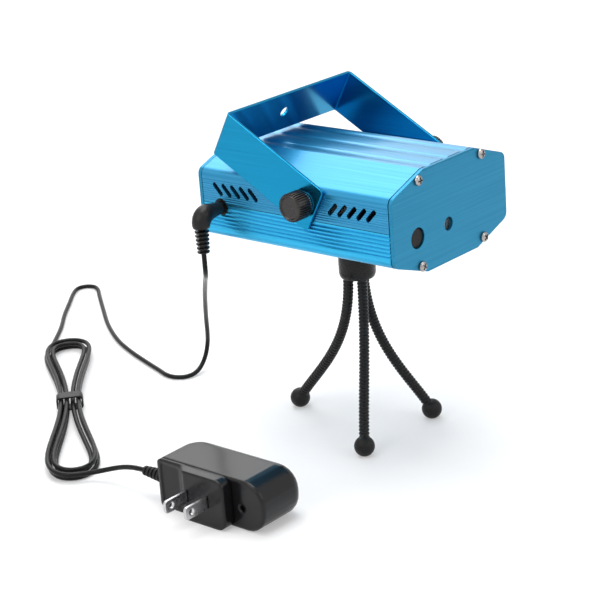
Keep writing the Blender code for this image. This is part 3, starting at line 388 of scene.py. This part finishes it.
def hank_place(t):
    turn = 2 * math.pi * t
    k = min(t, TURNS - t)
    waist = WAIST - WAIST_STEP * k
    lobe = LOBE - LOBE_STEP * k
    ease = EASE + EASE_STEP * k
    bulge = (lobe - waist * math.sin(PEAK)) / (math.sin(PEAK) + math.sin(3 * PEAK))
    a = (REACH - REACH_STEP * k) * ((1 + ease) * math.cos(turn) - ease * math.cos(3 * turn))
    b = (waist + bulge) * math.sin(turn) + bulge * math.sin(3 * turn)
    climb = min(1.0, max(0.0, (t - 1.5) / 0.5))
    climb = climb * climb * (3 - 2 * climb)
    z = CORD_H + LAYER * climb + HUMP * math.sin(turn) ** 2
    return HANK + AHEAD * a + ACROSS * b + Vector((0, 0, z))


def smooth(points, steps=24):
    path = np.array([tuple(p) for p in points], float)
    ends = np.vstack((2 * path[0] - path[1], path, 2 * path[-1] - path[-2]))
    fine = []
    for i in range(1, len(ends) - 2):
        a, b, c, d = ends[i - 1], ends[i], ends[i + 1], ends[i + 2]
        for t in np.linspace(0, 1, steps, endpoint=False):
            bend = 2 * a - 5 * b + 4 * c - d
            twist = 3 * b - a - 3 * c + d
            fine.append(0.5 * (2 * b + (c - a) * t + bend * t * t + twist * t ** 3))
    fine.append(path[-1])
    return np.array(fine)


def bezier(knots, count):
    out = []
    for t in np.linspace(0, 1, count):
        a, b, c, d = (1 - t) ** 3, 3 * t * (1 - t) ** 2, 3 * t * t * (1 - t), t ** 3
        out.append(tuple(knots[0] * a + knots[1] * b + knots[2] * c + knots[3] * d))
    return np.array(out)


def even(fine, spacing):
    run = np.concatenate(((0.0,), np.cumsum(np.linalg.norm(np.diff(fine, axis=0), axis=1))))
    places = np.linspace(0, run[-1], max(2, int(round(run[-1] / spacing)) + 1))
    return np.stack([np.interp(places, run, fine[:, k]) for k in range(3)], axis=1)


def curve(name, points, radius, mat, swell=None, resolution=5):
    data = bpy.data.curves.new(name, "CURVE")
    data.dimensions = "3D"
    data.fill_mode = "FULL"
    data.use_fill_caps = True
    data.bevel_depth = radius * MM
    data.bevel_resolution = resolution
    spline = data.splines.new("POLY")
    spline.points.add(len(points) - 1)
    for i, place in enumerate(points):
        spline.points[i].co = (*((Vector(place) + SHIFT) * MM), 1.0)
        spline.points[i].radius = 1.0 if swell is None else swell[i]
    spline.use_smooth = True
    data.materials.append(mat)
    obj = bpy.data.objects.new(name, data)
    scene.collection.objects.link(obj)
    return obj


loops = [hank_place(START + (TURNS - START) * i / LOOP_POINTS) for i in range(LOOP_POINTS + 1)]
entry = (loops[1] - loops[0]).normalized()
meet = loops[0] - entry * 2.8
soon = meet - entry * 5
early = meet - entry * 14
leave = loops[-1] - ACROSS * 2.8
route = [
    (PLUG.x, PLUG.y, 103.7), (PLUG.x, PLUG.y, 100), (PLUG.x + 0.4, PLUG.y + 0.4, 96.3),
    (PLUG.x + 2, PLUG.y + 2, 92.8), (-54.5, 52, 89.2), (-47, 59.5, 85), (-32, 75, 75.5), (-12, 96, 57),
    (3.5, 112, 38), (12, 120.5, 23.5), (14.8, 124, 16), (14.2, 125.7, 9), (9.8, 125.5, 4),
    (3.5, 124.8, 1.9), (-2.2, 126.6, CORD_H), (-5.6, 131.6, CORD_H), (-5.6, 138, CORD_H),
    (-2.5, 147, CORD_H), (3, 163, CORD_H), (10.5, 183, CORD_H), (20, 203, CORD_H), (35, 226, CORD_H),
    (54, 250, CORD_H), (69, 268.5, CORD_H), (76.3, 277.3, CORD_H), (79.5, 284, CORD_H),
    (77.2, 289.7, CORD_H), (71.5, 291, CORD_H), (64, 286.8, CORD_H), (51, 276.5, CORD_H),
    (33, 262, CORD_H), (16, 247, CORD_H), (early.x, early.y, CORD_H),
    (soon.x, soon.y, meet.z - FLOOR), (meet.x, meet.y, meet.z - FLOOR),
]
free = smooth([(x, y, h + FLOOR) for x, y, h in route])
tail = bezier((leave, leave - ACROSS * 16, RELIEF + Vector((0, 16, 0)), RELIEF), 40)
line = even(np.vstack((free, np.array([tuple(p) for p in loops]), tail)), SPACING)
cord = curve("power_cord", line, CORD_R, CABLE)
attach(cord, "power_lead")
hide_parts("cord_free", "cord_hank", "cord_tail")


# Case halves with fine drawn lines on the side walls
def inner_z(x):
    return HALF_H - (x - FLAT) * SLOPE - SKIN


def soft_groove(fixed, start, length, depth, steps=6):
    # a rounded groove cut into a side wall, walked along the wall
    out = []
    for k in range(steps + 1):
        share = k / steps
        out.append((fixed - depth * math.sin(math.pi * share) ** 2, start + length * share))
    return out


def make_shells():
    inside = HALF_W - WALL
    flat_in = FLAT + (WALL - SKIN) / SLOPE
    seam = GAP / 2
    boss_half, boss_low = 2.6, SCREW_Z - 3.4
    channel = [
        (flat_in, HALF_H - WALL), (SCREW_X - boss_half, inner_z(SCREW_X - boss_half)),
        (SCREW_X - boss_half, boss_low), (SCREW_X + boss_half, boss_low),
        (SCREW_X + boss_half, inner_z(SCREW_X + boss_half)), (inside, inner_z(inside)),
    ]
    shoulder = eased((HALF_W, 0.0), (HALF_W, SIDE), (FLAT, HALF_H), CORNER_R, 10)
    ridge = eased((HALF_W, SIDE), (FLAT, HALF_H), (0.0, HALF_H), RIDGE_R, 4)
    top = [(HALF_W, seam)]
    line_first, line_pitch, line_width, line_depth = 1.2, 1.15, 0.6, 0.2
    for i in range(10):
        top += soft_groove(HALF_W, line_first + line_pitch * i, line_width, line_depth, 4)
    top += shoulder + ridge
    for centre in (14.0, 0.0):
        walk = [(3.1, 0.0), (2.4, 0.06), (1.7, 0.24), (1.0, 0.3)]
        if centre > 0:
            walk += [(-1.0, 0.3), (-1.7, 0.24), (-2.4, 0.06), (-3.1, 0.0)]
        top += [(centre + u, HALF_H - v) for u, v in walk]
    under = channel + [(inside, seam)]
    upper_outline = mirrored(top) + [(-u, v) for u, v in reversed(under)] + under
    upper = solid("upper_case", prism(upper_outline, -SHELL_END, SHELL_END), BLUE)

    lip_out = inside - GAP
    lip_in = lip_out - 1.2
    low = [(lip_in, 2.8), (lip_out, 2.8), (lip_out, -seam), (HALF_W, -seam)]
    ribs, rib_first, rib_width, rib_depth = 6, 1.2, 1.3, 0.6
    pitch = (SIDE - CORNER_R * 0.75 - 1.8) / ribs
    for i in range(ribs):
        low += soft_groove(HALF_W, -rib_first - pitch * i, -rib_width, rib_depth)
    low += [(u, -v) for u, v in shoulder + ridge]
    floor_line = [(u, -v) for u, v in channel] + [(inside, -4.5), (lip_in, -3.0)]
    lower_outline = mirrored(low) + [(-u, v) for u, v in reversed(floor_line)] + floor_line
    # lower shell in the lighter blue, a painted reflection of the floor
    lower = solid("lower_case", prism(lower_outline, -SHELL_END, SHELL_END), LOWER_PAINTED_REFLECTION)

    for sx in (-1, 1):
        bm = bmesh.new()
        for sy in (-1, 1):
            for i in range(VENT_COUNT):
                add_vent(bm, sx, sy, VENT_FIRST + VENT_PITCH * i)
        cut(upper, bm)
    past = HALF_W + 5
    cut(upper, rod(PIVOT_BORE, -past, past, "X", PIVOT))
    for shell in (upper, lower):
        cut(shell, rod(JACK_BORE, -past, 6 - HALF_W, "X", JACK))
    cut(lower, rod(STUD_BORE, -HALF_H - 2, 6 - HALF_H, "Z", (0, 0)))
    for sx in (-1, 1):
        for sy in (-1, 1):
            ends = sorted((sy * (SHELL_END + 1), sy * (SHELL_END - 10)))
            cut(upper, rod(SCREW_BORE, *ends, "Y", (sx * SCREW_X, SCREW_Z), 12))
            cut(lower, rod(SCREW_BORE, *ends, "Y", (sx * SCREW_X, -SCREW_Z), 12))
    dress(upper, "projector", "blue_anodised", "upper_shell")
    dress(lower, "projector", "blue_anodised", "lower_shell")


def add_vent(bm, sx, sy, mid):
    slot_len, slot_w = 8.0, 2.4
    ring = []
    for end in (1, -1):
        for k in range(9):
            turn = math.radians(90 * (1 - end) - 90 + 22.5 * k)
            along = end * (slot_len - slot_w) / 2 + slot_w / 2 * math.cos(turn)
            across = slot_w / 2 * math.sin(turn)
            y = along * math.sin(VENT_LEAN) - across * math.cos(VENT_LEAN)
            z = along * math.cos(VENT_LEAN) + across * math.sin(VENT_LEAN)
            ring.append((sy * (mid + y), VENT_Z + z))
    rings_to_mesh(bm, [[Vector((sx * x, y, z)) for y, z in ring] for x in (HALF_W - 6, HALF_W + 2)])


make_shells()


# End plates, their cross-head screws and the small rear controls
def make_plates():
    corners = []
    for sx, sz in ((1, 1), (-1, 1), (-1, -1), (1, -1)):
        pair = [(sx * HALF_W, sz * SIDE, CORNER_R), (sx * FLAT, sz * HALF_H, RIDGE_R)]
        corners += pair if sx * sz > 0 else list(reversed(pair))
    outline = rounded_polygon(corners)
    for sy, word in ((-1, "front"), (1, "rear")):
        ends = sorted((sy * HALF_L, sy * (HALF_L - PLATE_T)))
        plate = solid(word + "_face", prism(outline, *ends), PLATE)
        number = 0
        for sx in (-1, 1):
            for sz in (-1, 1):
                number += 1
                centre = (sx * SCREW_X, sz * SCREW_Z)
                cut(plate, rod(SCREW_BORE, sy * HALF_L - 4, sy * HALF_L + 4, "Y", centre, 16))
                make_screw(sy, word, number, centre)
        if sy < 0:
            cut(plate, rod(MIC_BORE, -HALF_L - 3, -HALF_L + 5, "Y", MIC, 48))
            cut(plate, rod(WINDOW_BORE, -HALF_L - 3, -HALF_L + 5, "Y", WINDOW, 40))
        else:
            cut(plate, prism(oblong(SWITCH, SWITCH_HALF_W, SWITCH_HALF_H), HALF_L - 4, HALF_L + 3))
            cut(plate, rod(DIAL_BORE, HALF_L - 4, HALF_L + 3, "Y", DIAL, 24))
        dress(plate, "projector", "blue_plate", word + "_plate", edge=0.35)


def make_screw(sy, word, number, centre):
    face = sy * (HALF_L + GAP)
    head_r, head_h = 2.5, 1.7
    profile = [(0.3, face + sy * head_h)]
    for k in range(1, 7):
        turn = math.radians(15 * k)
        profile.append((head_r * math.sin(turn), face + sy * (0.5 + (head_h - 0.5) * math.cos(turn))))
    profile += [(head_r, face), (1.1, face), (1.1, face - sy * (PLATE_T + 9.0))]
    screw = solid("%s_bolt_%d" % (word, number), turned(profile, "Y", centre, 32), SCREW)
    tilt = math.radians(20 + 37 * number)
    for quarter in (0, 1):
        turn = tilt + quarter * math.pi / 2
        u, v = math.cos(turn), math.sin(turn)
        bar = []
        for a, b in ((1.65, 0.46), (-1.65, 0.46), (-1.65, -0.46), (1.65, -0.46)):
            bar.append((centre[0] + a * u - b * v, centre[1] + a * v + b * u))
        cut(screw, prism(bar, face + sy * 0.5, face + sy * 4))
    dress(screw, "projector", "steel", "%s_screw_%d" % (word, number))


def make_controls():
    low = HALF_L + GAP
    top = low + 5.0
    bm = bmesh.new()
    rings = []
    for along, inset in ((low, 0.3), (low + 0.4, 0.0), (top - 0.7, 0.0), (top, 0.8)):
        rings.append(toothed(DIAL_R - inset, 0.35, 30, "Y", DIAL, along))
    rings_to_mesh(bm, rings)
    knob = solid("speed_dial", bm, PLASTIC)
    cut(knob, rod(DIAL_BORE - GAP, HALF_L - 8, low + 1, "Y", DIAL), "UNION")
    mark = oblong((DIAL[0], DIAL[1] + 3.5), 0.5, 2.5)
    cut(knob, prism(mark, top - 0.6, top + 1))
    dress(knob, "speed_knob", "black_plastic", "speed_knob")
    tab_half, groove_pitch = SWITCH_HALF_H - GAP, 1.05
    slider = solid("mode_tab", prism(oblong(SWITCH, tab_half, tab_half), HALF_L - 5.0, HALF_L + 2.5), PLASTIC)
    for k in (-1, 0, 1):
        groove = oblong((SWITCH[0] + groove_pitch * k, SWITCH[1]), 0.22, 3.0)
        cut(slider, prism(groove, HALF_L + 2.1, HALF_L + 4))
    dress(slider, "mode_slider", "black_plastic", "mode_slider", edge=0.12)


def toothed(radius, depth, teeth, axis, centre, along):
    ring = []
    for i in range(4 * teeth):
        reach = radius - (depth if i % 4 >= 2 else 0.0)
        turn = 2 * math.pi * (i + (0.15 if i % 2 else -0.15)) / (4 * teeth)
        ring.append(spot(axis, centre[0] + reach * math.cos(turn), centre[1] + reach * math.sin(turn), along))
    return ring


make_plates()
make_controls()


# Yoke: a bent strip with softened edges, and its knurled thumb knobs
def make_yoke():
    out_x, thick, reach, tail_end, width = 47.0, 1.5, 58.0, 7.5, 24.0
    bend, corner_r, hole_r, lean = 2.2, 2.0, 2.6, math.radians(29)
    in_x = out_x - thick
    outer = eased((out_x, 0), (out_x, reach), (0, reach), bend, 10)
    inner = eased((in_x, 0), (in_x, reach - thick), (0, reach - thick), bend - thick, 10)
    outer = [(out_x, -tail_end)] + outer
    inner = [(in_x, -tail_end)] + inner
    outline = mirrored(outer) + [(-u, v) for u, v in inner] + list(reversed(inner))
    turn = Matrix.Translation((0, *PIVOT)) @ Matrix.Rotation(lean, 4, "X")
    yoke = solid("yoke_strip", prism(outline, -width / 2, width / 2, "Z"), YOKE, turn)
    far = width / 2
    past = tail_end + 2
    for sv in (-1, 1):
        side = sv * (far + 2)
        arc = eased((0, sv * far), (-tail_end, sv * far), (-tail_end, 0), corner_r, 8)
        tool = arc + [(-past, arc[-1][1]), (-past, side), (arc[0][0], side)]
        cut(yoke, prism(tool, -out_x - 2, out_x + 2, "X"), move=turn)
    cut(yoke, rod(PIVOT_BORE, -out_x - 2, out_x + 2, "X", (0, 0)), move=turn)
    cut(yoke, rod(hole_r, reach - 5, reach + 3, "Y", (0, 0), 40), move=turn)
    dress(yoke, "yoke", "blue_anodised", "yoke_bracket", edge=0.3)


def make_knobs():
    start, length, radius, teeth, tooth, stud_r = 48.4, 9.0, 7.0, 36, 0.8, PIVOT_BORE - GAP
    ring_low, ring_high, ring_r = 47.3, 48.1, 5.6
    for sx, word in ((-1, "left"), (1, "right")):
        rings = []
        for along, inset in ((0.0, 0.7), (0.5, 0.0), (length - 1.1, 0.0), (length - 0.5, 0.35)):
            rings.append(toothed(radius - inset, tooth, teeth, "X", PIVOT, sx * (start + along)))
        for along, reach in ((length - 0.5, 6.2), (length - 0.1, 5.9), (length, 5.6), (length - 0.7, 5.1)):
            rings.append(toothed(reach, 0.0, teeth, "X", PIVOT, sx * (start + along)))
        bm = bmesh.new()
        rings_to_mesh(bm, rings)
        stud = sorted((sx * 38.0, sx * (start + 1)))
        turned(((stud_r, stud[0]), (stud_r, stud[1])), "X", PIVOT, 24, bm)
        knob = solid(word + "_thumb_knob", bm, KNURL)
        dress(knob, word + "_knob", "black_plastic", word + "_knob")
        flat = sorted((sx * ring_low, sx * ring_high))
        washer = solid(word + "_flat_ring", rod(ring_r, *flat, "X", PIVOT, 48), STEEL)
        cut(washer, rod(PIVOT_BORE, flat[0] - 1, flat[1] + 1, "X", PIVOT, 32))
        dress(washer, "yoke", "steel", word + "_washer", edge=0.15)


make_yoke()
make_knobs()


# Tripod: turned hub, ribbed sleeves and ball feet
LEG_PLACES = ((87.5, 46.5), (216.5, 36.7), (318.3, 33.9))
ROOT_TURN, ROOT_R = 4, 4.9
FOOT_R, FOOT_FLAT, FOOT_SEAT = 5.2, 0.3, 3.2


def make_tripod():
    hub_r, hub_h, top = 9.3, 18.0, -HALF_H - GAP
    low = top - hub_h
    hip_z, hip_r = low + 2.0, 2.9
    profile = [(0.2, top), (hub_r - 0.5, top), (hub_r - 0.15, top - 0.15), (hub_r, top - 0.5)]
    profile += [(hub_r, low + 2.4), (hub_r - 0.2, low + 1.4), (hub_r - 0.55, low + 0.5)]
    profile += [(hub_r - 0.85, low), (0.2, low)]
    hub = solid("hub", turned(profile, "Z", (0, 0), 64), SLEEVE)
    cut(hub, rod(3.4, top - 9.3, top + 2, "Z", (0, 0)))
    ball_z = FLOOR + FOOT_R - FOOT_FLAT
    for number, (angle, reach) in enumerate(LEG_PLACES, 1):
        out = Vector((math.cos(math.radians(angle)), math.sin(math.radians(angle)), 0.0))
        pocket = math.radians(ROOT_TURN + 120 * number)
        root = Vector((math.cos(pocket), math.sin(pocket), 0.0)) * ROOT_R
        socket = [(3.6, low - 3), (3.6, hip_z)]
        for k in range(9):
            turn = math.radians(10.5 * k)
            socket.append(((hip_r + GAP) * math.cos(turn), hip_z + (hip_r + GAP) * math.sin(turn)))
        cut(hub, turned(socket, "Z", (root.x, root.y), 32))
        drop = hip_z - ball_z
        up = Vector((0, 0, 1))
        knots = (
            root + up * hip_z, root + up * (hip_z - 0.5 * drop),
            out * (0.64 * reach) + up * (ball_z + 0.28 * drop), out * reach + up * ball_z,
        )
        path = bezier(knots, 400)
        ball = Vector(path[-1])
        path = path[np.linalg.norm(path - path[-1], axis=1) >= FOOT_SEAT + GAP]
        make_leg(number, path)
        make_foot(number, ball, Vector(path[-20] - path[-1]).normalized())
    dress(hub, "tripod", SLOTS["tripod_hub"], "tripod_hub")


def make_leg(number, path):
    ribs, per_rib, full, valley = 46, 6, 2.7, 2.1
    length = np.linalg.norm(np.diff(path, axis=0), axis=1).sum()
    spine = even(path, length / (ribs * per_rib))
    swell = []
    for k in range(len(spine)):
        wave = abs(math.sin(math.pi * k / per_rib)) ** 0.6
        swell.append((valley + (full - valley) * wave) / full)
    leg = curve("leg_sleeve_%d" % number, spine, full, SLEEVE, swell, 5)
    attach(leg, "leg_%d" % number)
    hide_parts("leg_%d" % number)


def make_foot(number, ball, aim):
    sole = math.sqrt(FOOT_R ** 2 - (FOOT_R - FOOT_FLAT) ** 2)
    profile = [(0.2, FLOOR), (sole, FLOOR)]
    first = math.asin((FOOT_R - FOOT_FLAT) / FOOT_R)
    for k in range(1, 24):
        turn = -first + (first + math.pi / 2) * k / 24
        profile.append((FOOT_R * math.cos(turn), ball.z + FOOT_R * math.sin(turn)))
    foot = solid("ball_foot_%d" % number, turned(profile, "Z", (ball.x, ball.y), 40), RUBBER)
    turn = Matrix.Translation(ball) @ Vector((0, 0, 1)).rotation_difference(aim).to_matrix().to_4x4()
    cut(foot, rod(2.5, FOOT_SEAT, FOOT_R + 4, "Z", (0, 0)), move=turn)
    dress(foot, "leg_%d" % number, "black_rubber", "foot_%d" % number)


make_tripod()


# Right-angle plug with its ribbed boot
def make_plug():
    rings = []
    bend_r = 5.0
    bend_x, bend_z = PLUG.x + bend_r, PLUG.z - bend_r
    stations = [(-45.3, 3.0), (-45.8, 3.3), (-48.5, 3.3), (-52.0, 3.8), (bend_x, 4.5)]
    for x, radius in stations:
        rings.append(plug_ring(Vector((x, PLUG.y, PLUG.z)), Vector((-1, 0, 0)), radius))
    for k in range(1, 9):
        turn = math.radians(90 * k / 8)
        centre = Vector((bend_x - bend_r * math.sin(turn), PLUG.y, bend_z + bend_r * math.cos(turn)))
        bulge = 4.5 + 0.3 * math.sin(math.pi * k / 8)
        rings.append(plug_ring(centre, Vector((-math.cos(turn), 0, -math.sin(turn))), bulge))
    down = Vector((0, 0, -1))
    boot_top, boot_low, ribs = PLUG.z - 6.6, -20.5, 6
    pitch = (boot_top - boot_low) / ribs
    walk = [(boot_top + 1.2, 4.4), (boot_top + 0.3, 4.1), (boot_top, 2.2)]
    for k in range(ribs):
        z = boot_top - pitch * k
        wide = 3.6 - 0.1 * k
        walk += [(z - pitch * 0.6, 1.75), (z - pitch * 0.63, wide - 0.1), (z - pitch * 0.67, wide)]
        walk += [(z - pitch * 0.92, wide), (z - pitch * 0.96, wide - 0.1), (z - pitch * 0.998, 1.75)]
    for z, radius in walk:
        rings.append(plug_ring(Vector((PLUG.x, PLUG.y, z)), down, radius))
    bm = bmesh.new()
    rings_to_mesh(bm, rings)
    plug = solid("elbow_plug", bm, PLASTIC)
    dress(plug, "power_lead", "black_plastic", "dc_plug", sharp=40)
    return plug


def plug_ring(centre, along, radius, steps=36):
    side = Vector((0, 1, 0))
    up = side.cross(along)
    ring = []
    for k in range(steps):
        turn = 2 * math.pi * k / steps
        ring.append(centre + side * (radius * math.cos(turn)) + up * (radius * math.sin(turn)))
    return ring


# Tie round the waist of the hank
def make_tie():
    half, mid = WAIST - WAIST_STEP / 2 + CORD_R + 0.45, WAIST_STEP / 4
    high = CORD_H + LAYER + HUMP + CORD_R + 0.4
    low = 1.2
    thick, length = 0.9, 8.0
    rise = ((low + high) / 2, (high - low) / 2)
    inner = rounded_polygon([(u, v, 1.6) for u, v in oblong((0.0, rise[0]), half, rise[1])])
    outer = rounded_polygon([(u, v, 2.4) for u, v in oblong((0.0, rise[0]), half + thick, rise[1] + thick)])
    bm = bmesh.new()
    rings = []
    for outline, ends in ((outer, (-0.5, -0.42, 0.42, 0.5)), (inner, (0.5, -0.5))):
        for share in ends:
            soft = 0.0 if outline is inner or abs(share) < 0.45 else 0.3
            ring = []
            for u, v in outline:
                pull = Vector((u, v - rise[0])).normalized() * soft
                place = HANK + ACROSS * (u - pull.x + mid) + AHEAD * (share * length)
                ring.append(place + Vector((0, 0, v - pull.y)))
            rings.append(ring)
    made = [[bm.verts.new(p) for p in ring] for ring in rings]
    count = len(outer)
    for first, second in zip(made, made[1:] + made[:1]):
        for i in range(count):
            j = (i + 1) % count
            bm.faces.new((first[i], first[j], second[j], second[i]))
    tie = solid("waist_tie", bm, PLASTIC)
    dress(tie, "power_lead", "black_plastic", "hank_tie")
    return tie


# Wall adapter: blades and strain relief, its case and cover being the CAD's own
FACE_X = -130.0
CASE_Y1 = 25.5
MID_Z = FLOOR + 12.5
BLADE_MID, BLADE_SPACING = -3.1, 12.7


def make_relief():
    first, end, ribs = CASE_Y1 + 2.6, CASE_Y1 + 15.0, 5
    pitch = (end - first) / ribs
    collar = ((0.5, GAP), (3.5, GAP), (3.6, 0.6), (3.6, 2.0), (3.3, 2.3))
    grip = [(radius, CASE_Y1 + along) for radius, along in collar]
    for k in range(ribs):
        y = first + pitch * k
        wide = 3.3 - 0.22 * k
        grip += [(wide - 0.9, y), (wide - 0.9, y + pitch * 0.3), (wide - 0.1, y + pitch * 0.36)]
        grip += [(wide, y + pitch * 0.45), (wide, y + pitch * 0.85), (wide - 0.1, y + pitch * 0.95)]
    grip += [(1.6, end)]
    relief = solid("lead_boot", turned(grip, "Y", (RELIEF.x, RELIEF.z), 36), RUBBER)
    dress(relief, "power_lead", "black_rubber", "adapter_strain_relief", sharp=40)
    return relief


def make_blade(mid, word):
    tip, back, half, thick = FACE_X - GAP - 14.5, FACE_X - GAP, 3.15, 1.5
    outline = rounded_polygon([
        (back, MID_Z - half, 0), (back, MID_Z + half, 0), (tip, MID_Z + half, 1.6), (tip, MID_Z - half, 1.6),
    ])
    blade = solid(word + "_prong", prism(outline, mid - thick / 2, mid + thick / 2), STEEL)
    cut(blade, rod(1.5, mid - 3, mid + 3, "Y", (tip + 4.0, MID_Z), 28))
    dress(blade, "power_lead", "steel", word + "_blade", edge=0.3)
    return blade


on_cord = [make_plug(), make_tie(), make_relief()]
on_cord += [make_blade(BLADE_MID + sy * BLADE_SPACING / 2, word) for sy, word in ((-1, "near"), (1, "far"))]
on_cord += [nodes[name] for name in ("plug_barrel", "adapter_case", "adapter_cover")]


# Floor, backdrop and light
def seen_white(tree, shader_out, strength, share):
    # rays that are looked along meet a share of plain white beside the lit surface
    path = tree.nodes.new("ShaderNodeLightPath")
    first = tree.nodes.new("ShaderNodeMath")
    first.operation = "MAXIMUM"
    second = tree.nodes.new("ShaderNodeMath")
    second.operation = "MAXIMUM"
    portion = tree.nodes.new("ShaderNodeMath")
    portion.operation = "MULTIPLY"
    portion.inputs[1].default_value = share
    tree.links.new(path.outputs["Is Camera Ray"], first.inputs[0])
    tree.links.new(path.outputs["Is Glossy Ray"], first.inputs[1])
    tree.links.new(first.outputs[0], second.inputs[0])
    tree.links.new(path.outputs["Is Transmission Ray"], second.inputs[1])
    tree.links.new(second.outputs[0], portion.inputs[0])
    white = tree.nodes.new("ShaderNodeEmission" if share < 1 else "ShaderNodeBackground")
    white.inputs["Color"].default_value = (1.0, 1.0, 1.0, 1.0)
    white.inputs["Strength"].default_value = strength
    mixed = tree.nodes.new("ShaderNodeMixShader")
    tree.links.new(portion.outputs[0], mixed.inputs["Fac"])
    tree.links.new(shader_out, mixed.inputs[1])
    tree.links.new(white.outputs[0], mixed.inputs[2])
    return mixed.outputs["Shader"]


def pale(name):
    mat, tree, shader = material(name, (0.96, 0.96, 0.965), 0.8)
    grain = streaks(tree, (40, 40, 40))
    tone = ramp(tree, grain.outputs["Fac"], (0.95, 0.95, 0.955, 1), (0.97, 0.97, 0.975, 1))
    tree.links.new(tone.outputs["Color"], shader.inputs["Base Color"])
    out = tree.nodes["Material Output"]
    tree.links.new(seen_white(tree, shader.outputs["BSDF"], 1.0, 0.3), out.inputs["Surface"])
    return mat


def make_floor():
    bm = bmesh.new()
    rows = []
    near, bend, height_end, half_width = -4.0, 1.2, 4.0, 5.0
    profile = [(near, 0.0), (bend, 0.0)]
    for k in range(1, 13):
        turn = math.radians(90 * k / 12)
        profile.append((bend + bend * math.sin(turn), bend - bend * math.cos(turn)))
    profile.append((2 * bend, height_end))
    away = Vector((math.sin(-CAM_AZ), math.cos(CAM_AZ), 0.0))
    side = Vector((away.y, -away.x, 0.0))
    for along, height in profile:
        row = []
        for s in (-half_width, half_width):
            row.append(bm.verts.new(away * along + side * s + Vector((0, 0, height))))
        rows.append(row)
    for a, b in zip(rows, rows[1:]):
        bm.faces.new((a[0], a[1], b[1], b[0]))
    bmesh.ops.recalc_face_normals(bm, faces=bm.faces[:])
    mesh = bpy.data.meshes.new("floor")
    bm.to_mesh(mesh)
    bm.free()
    mesh.shade_smooth()
    obj = bpy.data.objects.new("floor", mesh)
    obj.data.materials.append(pale("pale_floor"))
    scene.collection.objects.link(obj)


def lamp(name, place, size, power):
    data = bpy.data.lights.new(name, "AREA")
    data.shape = "RECTANGLE"
    data.size, data.size_y = size
    data.energy = power
    obj = bpy.data.objects.new(name, data)
    obj.location = place
    aim = Vector((0.0, 0.05, 0.1))
    obj.rotation_euler = (aim - Vector(place)).to_track_quat("-Z", "Y").to_euler()
    scene.collection.objects.link(obj)


def make_world():
    world = bpy.data.worlds.new("studio")
    world.use_nodes = True
    scene.world = world
    sky = world.node_tree
    shade = sky.nodes["Background"]
    shade.inputs["Color"].default_value = (1.0, 1.0, 1.0, 1.0)
    shade.inputs["Strength"].default_value = 0.5
    out = sky.nodes["World Output"]
    sky.links.new(seen_white(sky, shade.outputs["Background"], 1.0, 1.0), out.inputs["Surface"])


make_floor()
make_world()
# each lamp has its place and its size in metres, and its power in watts
LAMPS = (
    ("top_soft", (0.0, 0.1, 1.3), (0.8, 0.8), 10),
    ("back_key", (0.55, 0.95, 1.15), (1.0, 1.0), 7),
    ("left_fill", (-1.4, 0.2, 1.0), (1.0, 1.0), 6),
    ("front_fill", (0.3, -1.5, 0.9), (0.9, 0.9), 4),
    ("back_strip", (1.23, 1.13, 0.75), (1.4, 0.5), 2.2),
)
for row in LAMPS:
    lamp(*row)

scene.view_settings.view_transform = "Standard"
